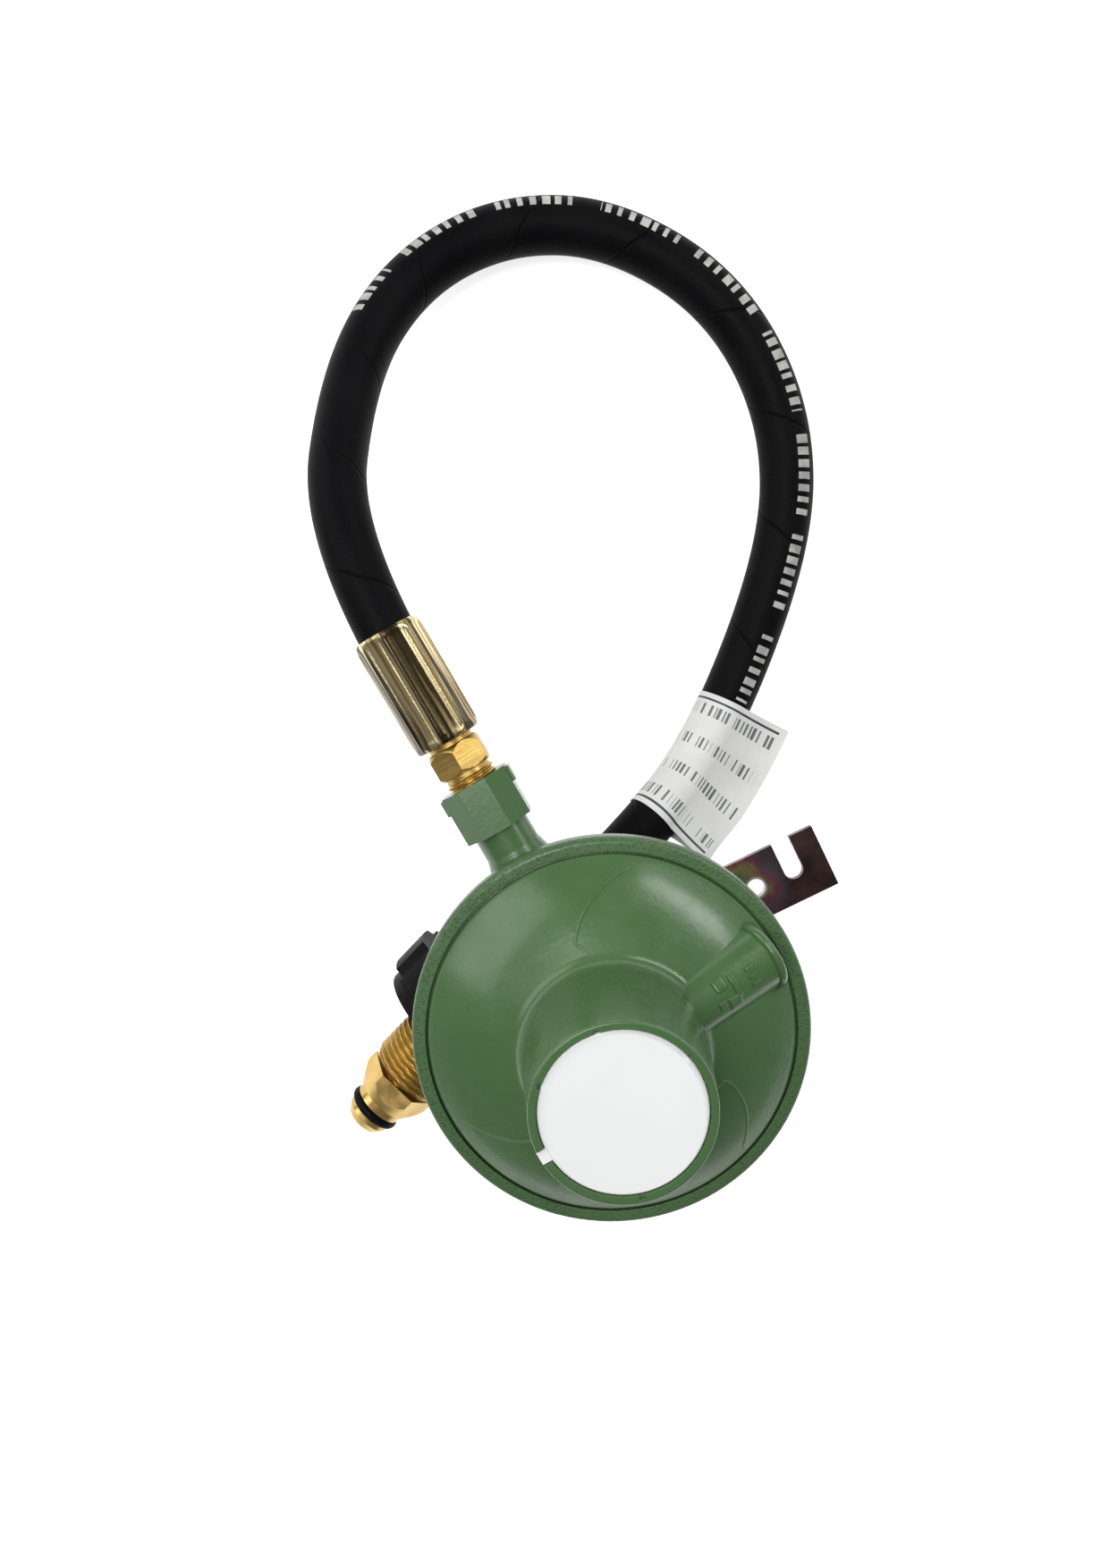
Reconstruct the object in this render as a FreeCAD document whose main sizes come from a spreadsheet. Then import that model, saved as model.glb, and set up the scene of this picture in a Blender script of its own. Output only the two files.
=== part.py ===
"""Low-pressure propane regulator with its cylinder hose, as a parametric document.

Row frame, millimetres: +Z is the regulator's own axis, and the origin is the centre of the
mounting bracket's back face on that axis. The gas comes in from -X and leaves towards +X.
"""
import FreeCAD, Part

import math
import os
import re

import Sketcher

App = FreeCAD
doc = App.newDocument("propane_regulator_hose")
UP = App.Vector(0, 0, 1)
SHEET = "Dimensions"

# Driving dimensions, in millimetres and degrees.
DIMENSIONS = {
    # hose, crimped ferrules and brass stems
    "hose_diameter": 15.0,
    "hose_bore": 8.0,
    "stem_tail_diameter": 7.8,
    "stem_bore": 4.0,
    "ferrule_diameter": 17.8,
    "ferrule_flats": 17.0,
    "ferrule_length": 32.0,
    "ferrule_wall": 1.8,
    "ferrule_bore": 15.1,
    "ferrule_plain_end": 3.0,
    # regulator body, heights above the bracket's back face
    "boss_radius": 12.0,
    "housing_radius": 17.0,
    "housing_base": 36.5,
    "dish_base": 51.5,
    "dish_floor": 54.2,
    "dish_inner_radius": 34.0,
    "dish_base_radius": 36.0,
    "land_height": 61.0,
    "land_radius": 43.5,
    "seat_radius": 48.0,
    "rim_radius": 49.5,
    "rim_base": 60.0,
    "rim_top": 66.0,
    "lip_radius": 46.0,
    "lip_thickness": 1.8,
    # bonnet and its spring tower
    "bonnet_radius": 45.4,
    "bonnet_wall": 2.4,
    "dome_radius": 37.5,
    "dome_height": 72.9,
    "flange_radius": 47.8,
    "tower_base_radius": 22.2,
    "tower_base": 79.5,
    "tower_top": 114.0,
    "tower_radius": 19.8,
    "tower_bore": 18.0,
    # inlet arm and outlet boss
    "inlet_height": 46.5,
    "inlet_flats": 18.2,
    "inlet_end": 70.0,
    "inlet_shoulder": 56.4,
    "inlet_neck_radius": 7.4,
    "inlet_thread_radius": 6.7,
    "inlet_thread_depth": 12.5,
    "passage_radius": 3.5,
    "outlet_height": 43.0,
    "outlet_end": 47.0,
    "outlet_radius": 11.5,
    "outlet_thread_radius": 8.3,
    "outlet_thread_depth": 13.0,
    # valve train
    "valve_bore_radius": 4.6,
    "valve_radius": 4.5,
    "pivot_reach": 12.0,
    "pivot_height": 40.2,
    "pin_radius": 1.5,
    "diaphragm_thickness": 1.0,
    "diaphragm_radius": 47.6,
    "stem_radius": 2.5,
    # adjusting spring
    "spring_radius": 11.5,
    "spring_wire": 2.2,
    "spring_base": 63.3,
    "spring_top": 89.4,
    "spring_pitch": 4.4,
    "nut_base": 92.0,
    # bracket
    "bracket_thickness": 2.5,
    "bracket_width": 19.5,
    "bracket_reach": 74.5,
    "bracket_angle": -3.5,
    "hook_hole_radius": 2.75,
    "hook_hole_reach": 51.8,
    "slot_width": 5.8,
    "slot_depth": 12.5,
    "slot_reach": 64.2,
    "screw_radius": 2.0,
    "screw_offset": 7.5,
    # cylinder connector: its axis is level, and distances along it start at the nose O-ring
    "connector_x": -1.5,
    "connector_y": -74.8,
    "connector_height": 24.6,
    "connector_angle": 106.5,
    "spigot_radius": 6.0,
    "spigot_flats": 19.0,
    "connector_thread_radius": 11.45,
    "thread_start": 13.0,
    "thread_end": 28.0,
    "wheel_radius": 24.5,
    "wheel_collar_radius": 22.0,
    "cylinder_ferrule_start": 51.0,
    # vent horn
    "horn_inner_radius": 7.4,
    "horn_outer_radius": 8.6,
    "horn_length": 25.0,
    "horn_reach": 19.0,
    "horn_height": 76.4,
    "horn_slope": 22.0,
}


def make_sheet():
    """Puts each driving dimension in a cell with an alias."""
    sheet = doc.addObject("Spreadsheet::Sheet", SHEET)
    for row, (alias, value) in enumerate(DIMENSIONS.items(), start=1):
        sheet.set(f"A{row}", alias)
        sheet.set(f"B{row}", str(value))
        sheet.setAlias(f"B{row}", alias)
    doc.recompute()
    return sheet


sheet = make_sheet()


def value(name):
    """A driving dimension as a number."""
    return float(getattr(sheet, name))


def bound(text):
    """An expression on the sheet's aliases, such as "rim_top - lip_thickness"."""
    return re.sub(r"[a-z][a-z_]+", lambda found: f"{SHEET}.{found.group(0)}", str(text))


def number(text):
    """What an expression on the aliases comes to, for places that take a number."""
    total = 0.0
    for sign, term in re.findall(r"([+-]?)\s*([a-z_]+|[0-9.]+)(?:\s*)", str(text)):
        size = float(term) if term[0].isdigit() else value(term)
        total += -size if sign == "-" else size
    return total


def place(item, base=(0, 0, 0), axis=UP):
    """Turns an object's own Z to the axis and binds its base point to the sheet."""
    item.Placement = App.Placement(App.Vector(), App.Rotation(UP, axis))
    for letter, text in zip("xyz", base):
        item.setExpression(f"Placement.Base.{letter}", bound(text))
    return item


def cylinder(name, radius, height, base=(0, 0, 0), axis=UP):
    item = doc.addObject("Part::Cylinder", name)
    item.setExpression("Radius", bound(radius))
    item.setExpression("Height", bound(height))
    return place(item, base, axis)


def cone(name, radius_low, radius_high, height, base=(0, 0, 0), axis=UP):
    item = doc.addObject("Part::Cone", name)
    item.setExpression("Radius1", bound(radius_low))
    item.setExpression("Radius2", bound(radius_high))
    item.setExpression("Height", bound(height))
    return place(item, base, axis)


def ring(name, radius, wire_radius, base=(0, 0, 0), axis=UP):
    item = doc.addObject("Part::Torus", name)
    item.setExpression("Radius1", bound(radius))
    item.setExpression("Radius2", bound(wire_radius))
    return place(item, base, axis)


def prism(name, sides, across_flats, height, base=(0, 0, 0), axis=UP, turn=0):
    """A regular prism, turned about its own axis by that many degrees."""
    item = doc.addObject("Part::Prism", name)
    item.Polygon = sides
    corner = round(1 / math.cos(math.pi / sides) / 2, 6)
    item.setExpression("Circumradius", f"({bound(across_flats)}) * {corner}")
    item.setExpression("Height", bound(height))
    place(item, base, axis)
    spin = App.Rotation(UP, turn)
    item.Placement.Rotation = App.Rotation(UP, axis).multiply(spin)
    return item


def box(name, sizes, base):
    """A box from its low corner."""
    item = doc.addObject("Part::Box", name)
    for side, size in zip(("Length", "Width", "Height"), sizes):
        item.setExpression(side, bound(size))
    return place(item, base)


def fuse(name, items):
    joined = doc.addObject("Part::MultiFuse", name)
    joined.Shapes = items
    return joined


def cut(name, base, tools):
    """The base without its tools."""
    item = doc.addObject("Part::Cut", name)
    item.Base = base
    item.Tool = tools[0] if len(tools) == 1 else fuse(f"{name}_tools", tools)
    return item


def common(name, base, tool):
    item = doc.addObject("Part::Common", name)
    item.Base = base
    item.Tool = tool
    return item


def turned(name, profile, base=(0, 0, 0), axis=UP, rounds=()):
    """A body turned about its own Z from a closed profile of (radius, height) points.

    Each point is bound to the sheet. rounds holds (radius, height, fillet) for corners.
    """
    body = doc.addObject("PartDesign::Body", name)
    sketch = body.newObject("Sketcher::SketchObject", f"{name}_profile")
    planes = {item.Role: item for item in body.Origin.OriginFeatures}
    sketch.AttachmentSupport = [(planes["XZ_Plane"], "")]
    sketch.MapMode = "FlatFace"
    points = [App.Vector(number(radius), number(height), 0) for radius, height in profile]
    for index, point in enumerate(points):
        sketch.addGeometry(Part.LineSegment(point, points[(index + 1) % len(points)]), False)
    for index in range(len(points)):
        following = (index + 1) % len(points)
        sketch.addConstraint(Sketcher.Constraint("Coincident", index, 2, following, 1))
    for index, texts in enumerate(profile):
        for kind, axis_line, text in (("DistanceX", -2, texts[0]), ("DistanceY", -1, texts[1])):
            if number(text) == 0:
                sketch.addConstraint(Sketcher.Constraint("PointOnObject", index, 1, axis_line))
                continue
            size = number(text)
            made = sketch.addConstraint(Sketcher.Constraint(kind, -1, 1, index, 1, size))
            sketch.setExpression(f"Constraints[{made}]", bound(text))
    spun = body.newObject("PartDesign::Revolution", f"{name}_turned")
    spun.Profile = sketch
    spun.ReferenceAxis = (sketch, ["V_Axis"])
    spun.Angle = 360
    doc.recompute()
    for count, (radius, height, size) in enumerate(rounds):
        last = body.Tip
        edges = circle_edges(last.Shape, number(radius), number(height))
        fillet = body.newObject("PartDesign::Fillet", f"{name}_round_{count}")
        fillet.Base = (last, edges)
        fillet.Radius = size
        body.Tip = fillet
        doc.recompute()
    return place(body, base, axis)


def circle_edges(shape, radius, height):
    """The names of a turned shape's circular edges of that radius at that height."""
    found = []
    for index, edge in enumerate(shape.Edges, start=1):
        if not isinstance(edge.Curve, Part.Circle):
            continue
        right_radius = abs(edge.Curve.Radius - radius) < 0.01
        if right_radius and abs(edge.Curve.Center.z - height) < 0.01:
            found.append(f"Edge{index}")
    return found


def spring(name, radius, wire, base_height, coil_height, pitch):
    """A helical spring: a round wire swept along a helix."""
    helix = doc.addObject("Part::Helix", f"{name}_helix")
    helix.setExpression("Radius", bound(radius))
    helix.setExpression("Pitch", bound(pitch))
    helix.setExpression("Height", bound(coil_height))
    place(helix, (0, 0, base_height))
    section = doc.addObject("Part::Circle", f"{name}_section")
    section.setExpression("Radius", f"({bound(wire)}) / 2")
    place(section, (radius, 0, base_height), App.Vector(0, 1, 0))
    doc.recompute()
    wire_body = doc.addObject("Part::Sweep", name)
    wire_body.Sections = [section]
    wire_body.Spine = (helix, [f"Edge{index + 1}" for index in range(len(helix.Shape.Edges))])
    wire_body.Solid = True
    wire_body.Frenet = True
    return wire_body


# ---- the cylinder connector's own axis -------------------------------------------------
CONNECTOR_TURN = math.radians(value("connector_angle"))
CONNECTOR_AXIS = App.Vector(math.cos(CONNECTOR_TURN), math.sin(CONNECTOR_TURN), 0)
CONNECTOR_ORIGIN = App.Vector(value("connector_x"), value("connector_y"), value("connector_height"))
WEST = App.Vector(-1, 0, 0)
EAST = App.Vector(1, 0, 0)


def on_connector(distance):
    """A point on the connector's axis, that far behind the nose O-ring, as a base."""
    point = CONNECTOR_ORIGIN + CONNECTOR_AXIS * number(distance)
    return (round(point.x, 4), round(point.y, 4), round(point.z, 4))


def on_inlet(distance):
    """A point on the inlet's axis, that far west of the regulator's axis, as a base."""
    return (f"0 - ({distance})", 0, "inlet_height")


# ---- regulator castings ----------------------------------------------------------------
def lower_casing():
    """Die-cast body: rear boss, valve housing, dish, rolled rim, inlet arm and outlet boss."""
    outside = turned(
        "casing_outside",
        [
            (0, "bracket_thickness"),
            ("boss_radius", "bracket_thickness"),
            ("boss_radius", "housing_base - 2"),
            ("housing_radius", "housing_base"),
            ("housing_radius", "dish_base"),
            ("dish_base_radius", "dish_base"),
            ("lip_radius + 0.5", "rim_base - 1.2"),
            ("rim_radius", "rim_base"),
            ("rim_radius", "rim_top"),
            ("lip_radius", "rim_top"),
            ("lip_radius", "rim_top - lip_thickness"),
            (0, "rim_top - lip_thickness"),
        ],
        rounds=[
            ("housing_radius", "dish_base", 2.5),
            ("dish_base_radius", "dish_base", 4.0),
            ("rim_radius", "rim_base", 1.6),
            ("rim_radius", "rim_top", 1.6),
        ],
    )
    cavity = turned(
        "casing_cavity",
        [
            (0, "dish_floor"),
            ("dish_inner_radius", "dish_floor"),
            ("land_radius", "land_height"),
            ("seat_radius", "land_height"),
            ("seat_radius", "rim_top - lip_thickness"),
            ("lip_radius", "rim_top - lip_thickness"),
            ("lip_radius", "rim_top + 1"),
            (0, "rim_top + 1"),
        ],
    )
    neck = cylinder("inlet_neck", "inlet_neck_radius", "inlet_shoulder - 12", on_inlet(13), WEST)
    flare = cone(
        "inlet_flare", "inlet_neck_radius + 2.6", "inlet_neck_radius", 9, on_inlet(41), WEST
    )
    octagon = prism(
        "inlet_octagon", 8, "inlet_flats", "inlet_end - inlet_shoulder",
        on_inlet("inlet_shoulder"), WEST, turn=22.5,
    )
    lugs = [
        box(
            f"inlet_lug_{side}", (4.2, 1.4, 4.6),
            (
                "0.6 - inlet_end",
                "inlet_flats / 2 - 0.5" if side == "left" else "0 - inlet_flats / 2 - 0.9",
                "inlet_height - 2.3",
            ),
        )
        for side in ("left", "right")
    ]
    outlet = cylinder(
        "outlet_boss", "outlet_radius", "outlet_end - 8", (8, 0, "outlet_height"), EAST
    )
    holes = [
        cavity,
        cylinder(
            "inlet_thread_hole", "inlet_thread_radius", "inlet_thread_depth + 1",
            on_inlet("inlet_end - inlet_thread_depth"), WEST,
        ),
        cylinder("filter_seat", 5.5, 4, on_inlet("inlet_end - inlet_thread_depth - 3.5"), WEST),
        cylinder("inlet_passage", "passage_radius", 28, on_inlet(28), WEST),
        cylinder("valve_bore", "valve_bore_radius", 24, on_inlet(6), WEST),
        box("lever_slot", (20, 5.2, 18), (-15, -2.6, 37.4)),
        cylinder("stem_pocket", 5.2, 8, (0, 0, 47.5)),
        cylinder(
            "outlet_thread_hole", "outlet_thread_radius", "outlet_thread_depth + 1",
            ("outlet_end - outlet_thread_depth", 0, "outlet_height"), EAST,
        ),
        cylinder("outlet_passage", 5, 25, (10, 0, "outlet_height"), EAST),
        cylinder("outlet_riser", 4.5, 13, (26, 0, "outlet_height")),
        cylinder(
            "pivot_hole", "pin_radius", 12, ("0 - pivot_reach", -6, "pivot_height"),
            App.Vector(0, 1, 0),
        ),
    ]
    for side in (-1, 1):
        holes.append(
            cylinder(
                f"screw_hole_{side + 1}", "screw_radius", 12,
                (f"{side} * screw_offset", 0, "bracket_thickness"),
            )
        )
    body = fuse("casing_body", [outside, neck, flare, octagon, *lugs, outlet])
    return cut("lower_casing", body, holes)


def above_bonnet(name, lift):
    """The space over the bonnet's cone, that far above its outer surface."""
    return turned(
        name,
        [
            (5, f"tower_base + {10 + lift}"),
            ("bonnet_radius - 0.3", f"rim_top + {0.35 + lift}"),
            ("bonnet_radius - 0.3", 100),
            (5, 100),
        ],
    )


def bonnet():
    """Bonnet shell with its spring tower, the vent horn and the marks in the tower's rim."""
    shell = turned(
        "bonnet_shell",
        [
            ("land_radius", "land_height + diaphragm_thickness"),
            ("flange_radius", "land_height + diaphragm_thickness"),
            ("flange_radius", "rim_top - lip_thickness"),
            ("bonnet_radius", "rim_top - lip_thickness"),
            ("bonnet_radius", "rim_top + 0.4"),
            ("dome_radius", "dome_height"),
            ("tower_base_radius", "tower_base"),
            ("tower_radius", "tower_top"),
            ("tower_bore", "tower_top"),
            ("tower_bore", "tower_base + 3.5"),
            ("tower_base_radius - bonnet_wall", "tower_base - 1.4"),
            ("bonnet_radius - bonnet_wall", "rim_top - 1.4"),
            ("land_radius", "rim_top - 2"),
        ],
        rounds=[
            ("bonnet_radius", "rim_top + 0.4", 1.8),
            ("dome_radius", "dome_height", 60.0),
            ("tower_base_radius", "tower_base", 4.0),
            ("tower_radius", "tower_top", 0.6),
        ],
    )
    slope = math.radians(value("horn_slope"))
    outward = App.Vector(0, math.cos(slope), -math.sin(slope))
    root = (0, "horn_reach", "horn_height")
    horn = common(
        "vent_horn",
        cone("horn_cone", "horn_inner_radius", "horn_outer_radius", "horn_length", root, outward),
        above_bonnet("horn_room", -1.2),
    )
    start = App.Vector(0, value("horn_reach"), value("horn_height"))
    mouth_start = start + outward * (value("horn_length") - 7)
    mouth_base = (0, round(mouth_start.y, 4), round(mouth_start.z, 4))
    mouth = common(
        "vent_mouth",
        cylinder("mouth_bore", "horn_outer_radius - 1.9", 9, mouth_base, outward),
        above_bonnet("mouth_room", 1.7),
    )
    screen_start = start + outward * (value("horn_length") - 6.9)
    screen_base = (0, round(screen_start.y, 4), round(screen_start.z, 4))
    screen = common(
        "vent_screen",
        cylinder("screen_disc", "horn_outer_radius - 1.95", 0.6, screen_base, outward),
        above_bonnet("screen_room", 1.75),
    )
    drilling = cylinder("vent_drilling", 2.0, 20, (0, 14, 76.5), outward)
    cuts = [mouth, drilling, key_slot("cap_key_slot", 3.4, "tower_top - 3.6")]
    for index, angle in enumerate((102.0, 167.6, 220.8, 342.6)):
        cuts.append(rim_notch(f"rim_notch_{index}", angle))
    return cut("bonnet", fuse("bonnet_body", [shell, horn]), cuts), screen


def key_slot(name, width, base_height):
    """A radial box through the tower's rim on its -Y side."""
    return box(name, (width, 4, 5), (-width / 2, "0 - tower_radius - 1.5", base_height))


def rim_notch(name, angle):
    """A small mark across the tower's inner edge, at that angle about the axis."""
    item = doc.addObject("Part::Box", name)
    item.Length = 1.2
    item.Width = 1.3
    item.Height = 1.2
    turn = App.Rotation(UP, angle)
    corner = App.Vector(value("tower_bore") - 0.5, -0.6, value("tower_top") - 1.0)
    item.Placement = App.Placement(turn.multVec(corner), turn)
    return item


# ---- tower contents --------------------------------------------------------------------
def tower_cap():
    """Pull-off cap: a flat top with a skirt and one key that sits in the tower's slot."""
    top = turned(
        "cap_body",
        [
            (0, "tower_top - 3.3"),
            ("tower_bore - 1.8", "tower_top - 3.3"),
            ("tower_bore - 1.8", "tower_top - 9"),
            ("tower_bore - 0.12", "tower_top - 9"),
            ("tower_bore - 0.12", "tower_top - 0.7"),
            (0, "tower_top - 0.7"),
        ],
        rounds=[("tower_bore - 0.12", "tower_top - 0.7", 0.5)],
    )
    key = box("cap_key", (3.0, 2.6, 2.0), (-1.5, "0 - tower_radius - 0.1", "tower_top - 2.8"))
    return fuse("tower_cap", [top, key])


def adjusting_nut():
    """Slotted spring adjuster: a threaded disc with a hexagonal key hole."""
    disc = turned(
        "adjuster_disc",
        [
            (0, "nut_base"),
            ("tower_bore - 0.1", "nut_base"),
            ("tower_bore - 0.1", "nut_base + 7"),
            (0, "nut_base + 7"),
        ],
    )
    return cut("adjusting_nut", disc, [prism("adjuster_key_hole", 6, 12, 9, (0, 0, "nut_base - 1"))])


def spring_top_seat():
    return turned(
        "spring_top_seat",
        [
            (0, "spring_top - 3"),
            ("spring_radius - spring_wire", "spring_top - 3"),
            ("spring_radius - spring_wire", "spring_top + 0.1"),
            ("spring_radius + 2.2", "spring_top + 0.1"),
            ("spring_radius + 2.2", "nut_base - 0.1"),
            (0, "nut_base - 0.1"),
        ],
    )


# ---- diaphragm assembly ----------------------------------------------------------------
def diaphragm():
    """Rubber diaphragm, clamped at its edge, with one raised convolution."""
    hole = "stem_radius + 0.1"
    low = "land_height"
    high = "land_height + diaphragm_thickness"
    return turned(
        "diaphragm",
        [
            (hole, low),
            (34, low), (36, "land_height + 2.2"), (39, "land_height + 2.2"), (41, low),
            ("diaphragm_radius", low),
            ("diaphragm_radius", high),
            (41.5, high), (39.5, "land_height + 3.2"), (35.5, "land_height + 3.2"), (33.5, high),
            (hole, high),
        ],
    )


def diaphragm_plate():
    return turned(
        "diaphragm_plate",
        [
            ("stem_radius + 0.1", "land_height + 1"),
            (31, "land_height + 1"),
            (31, "land_height + 3.8"),
            (29.8, "land_height + 3.8"),
            (29.8, "spring_base - 0.1"),
            ("stem_radius + 0.1", "spring_base - 0.1"),
        ],
    )


def diaphragm_washer():
    return turned(
        "diaphragm_washer",
        [
            ("stem_radius + 0.1", "land_height - 1"),
            (9, "land_height - 1"),
            (9, "land_height"),
            ("stem_radius + 0.1", "land_height"),
        ],
    )


def diaphragm_stem():
    """Stem through the diaphragm, with a window for the lever's end."""
    body = turned(
        "stem_body",
        [
            (0, "dish_floor - 5.2"),
            (4, "dish_floor - 5.2"),
            (4, "land_height - 2.4"),
            (6, "land_height - 2.4"),
            (6, "land_height - 1"),
            ("stem_radius", "land_height - 1"),
            ("stem_radius", "spring_base + 12.5"),
            (0, "spring_base + 12.5"),
        ],
    )
    window = box("lever_window", (10, 3.6, 3.4), (-5, -1.8, "dish_floor - 2.7"))
    return cut("diaphragm_stem", body, [window])


def relief_nut():
    nut = prism("relief_nut_body", 6, 8, 3, (0, 0, "spring_base + 8.8"))
    hole = cylinder("relief_nut_bore", "stem_radius", 5, (0, 0, "spring_base + 8"))
    return cut("relief_nut", nut, [hole])


# ---- valve train -----------------------------------------------------------------------
def lever():
    """Bell crank: the pivot is below the valve, and the long arm ends in the stem."""
    arm_up = box("lever_upright", (2, 3, 14.2), (-13, -1.5, 39.2))
    arm_out = box("lever_arm", (15.5, 3, 1.2), (-13, -1.5, 52.4))
    hole = cylinder(
        "lever_bore", "pin_radius + 0.04", 5, ("0 - pivot_reach", -2.5, "pivot_height"),
        App.Vector(0, 1, 0),
    )
    hub = cylinder(
        "lever_hub", 2.3, 3, ("0 - pivot_reach", -1.5, "pivot_height"), App.Vector(0, 1, 0)
    )
    return cut("lever", fuse("lever_blank", [arm_up, arm_out, hub]), [hole])


def lever_pin():
    return cylinder(
        "lever_pin", "pin_radius", 12, ("0 - pivot_reach", -6, "pivot_height"),
        App.Vector(0, 1, 0),
    )


def valve_poppet():
    """Sliding valve with a slot for the lever; the rubber disc sits on its west end."""
    body = cylinder("poppet_body", "valve_radius", 14, on_inlet(7), WEST)
    slot = box("poppet_slot", (4.2, 3.8, 12), (-14.1, -1.9, 40.5))
    return cut("valve_poppet", body, [slot])


def valve_disc():
    return cylinder("valve_disc", 3.9, 2, on_inlet(21), WEST)


def valve_orifice():
    """Brass seat: a threaded barrel with a tapered nozzle that faces the valve disc."""
    barrel = cylinder("orifice_barrel", "valve_bore_radius", 5, on_inlet(25), WEST)
    nozzle = cone("orifice_nozzle", 1.8, 2.6, 1.5, on_inlet(23.65), WEST)
    drilling = cylinder("orifice_drilling", 1.1, 8, on_inlet(23), WEST)
    return cut("valve_orifice", fuse("orifice_blank", [barrel, nozzle]), [drilling])


def inlet_filter():
    return cylinder("inlet_filter", 5.5, 3, on_inlet("inlet_end - inlet_thread_depth - 3.2"), WEST)


# ---- bracket ---------------------------------------------------------------------------
def mounting_bracket():
    """Flat plate with a hanging slot that is open on its -X edge and one round hole."""
    arm = box(
        "bracket_arm", ("bracket_width", "bracket_reach", "bracket_thickness"),
        ("0 - bracket_width / 2", 0, 0),
    )
    root = cylinder("bracket_root", "boss_radius + 0.5", "bracket_thickness")
    corner = cylinder("bracket_corner", 2.5, "bracket_thickness + 2", (0, 0, -1))
    corner.setExpression("Radius", bound("slot_width / 2"))
    corner.setExpression(
        "Placement.Base.x", bound("slot_depth - bracket_width / 2 - slot_width / 2")
    )
    corner.setExpression("Placement.Base.y", bound("slot_reach"))
    slot = box(
        "bracket_slot", ("slot_depth - slot_width / 2 + 1", "slot_width", "bracket_thickness + 2"),
        ("0 - bracket_width / 2 - 1", "slot_reach - slot_width / 2", -1),
    )
    hole = cylinder(
        "bracket_hole", "hook_hole_radius", "bracket_thickness + 2", (0, "hook_hole_reach", -1)
    )
    blank = fuse("bracket_blank", [arm, root])
    plate = cut("bracket_plate", blank, [corner, slot, hole])
    plate.Placement = App.Placement(App.Vector(), App.Rotation(UP, value("bracket_angle")))
    sinks = []
    for side in (-1, 1):
        spot = (f"{side} * screw_offset", 0, 0)
        sinks.append(cone(f"screw_sink_{side + 1}", 4.1, "screw_radius", 2.1, spot))
        sinks.append(
            cylinder(f"screw_through_{side + 1}", "screw_radius", "bracket_thickness + 1", spot)
        )
    return cut("mounting_bracket", plate, sinks)


def bracket_screws():
    """Two countersunk screws that hold the bracket on the rear boss."""
    screws = []
    for side in (-1, 1):
        spot = (f"{side} * screw_offset", 0, 0.05)
        head = cone(f"screw_head_{side + 1}", 4.0, "screw_radius - 0.05", 2.0, spot)
        shank = cylinder(f"screw_shank_{side + 1}", "screw_radius - 0.05", 13, spot)
        drive = prism(f"screw_drive_{side + 1}", 6, 2.5, 1.2, spot)
        screws.append(cut(f"screw_{side + 1}", fuse(f"screw_blank_{side + 1}", [head, shank]), [drive]))
    return fuse("bracket_screws", screws)


# ---- hose ends -------------------------------------------------------------------------
def ferrule(name, base, axis):
    """Crimped steel sleeve: eight flats between two plain ends, with a closed root."""
    length = "ferrule_length"
    blank = cylinder(f"{name}_blank", "ferrule_diameter / 2", length, base, axis)
    start = App.Vector(*[number_or(part) for part in base])
    crimp_start = start + axis * value("ferrule_plain_end")
    crimp_base = tuple(round(part, 4) for part in crimp_start)
    crimp_length = value(length) - 2 * value("ferrule_plain_end")
    window = cylinder(f"{name}_window", "ferrule_diameter", crimp_length, crimp_base, axis)
    flats = prism(f"{name}_flats", 8, "ferrule_flats", crimp_length, crimp_base, axis)
    waste = cut(f"{name}_waste", window, [flats])
    hose_room = start + axis * value("ferrule_wall")
    bores = [
        waste,
        cylinder(
            f"{name}_bore", "ferrule_bore / 2", length,
            tuple(round(part, 4) for part in hose_room), axis,
        ),
        cylinder(f"{name}_root_bore", "stem_tail_diameter / 2", 4, base, axis),
    ]
    return cut(name, blank, bores)


def number_or(part):
    """A base coordinate as a number, from a number or an expression."""
    if isinstance(part, str):
        return -number(part[5:-1]) if part.startswith("0 - (") else number(part)
    return float(part)


def inlet_stem():
    """Brass stem: tapered pipe thread, hexagon and a tail inside the hose."""
    west_start = "inlet_end - inlet_thread_depth"
    solid = turned(
        "stem_blank",
        [
            (0, 0), ("inlet_thread_radius - 0.3", 0),
            ("inlet_thread_radius", "inlet_thread_depth"),
            ("inlet_thread_radius - 0.5", "inlet_thread_depth + 3.4"),
            ("inlet_thread_radius - 0.5", 24.6), ("stem_tail_diameter / 2", 24.6),
            ("stem_tail_diameter / 2", 52), (0, 52),
        ],
        on_inlet(f"{west_start} + 0.1"), WEST,
    )
    hexagon = prism("inlet_hexagon", 6, 13.6, 7.6, on_inlet(73.4), WEST, turn=0)
    bore = cylinder("inlet_stem_bore", "stem_bore / 2", 60, on_inlet("inlet_shoulder"), WEST)
    return cut("inlet_stem", fuse("inlet_stem_body", [solid, hexagon]), [bore])


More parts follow.
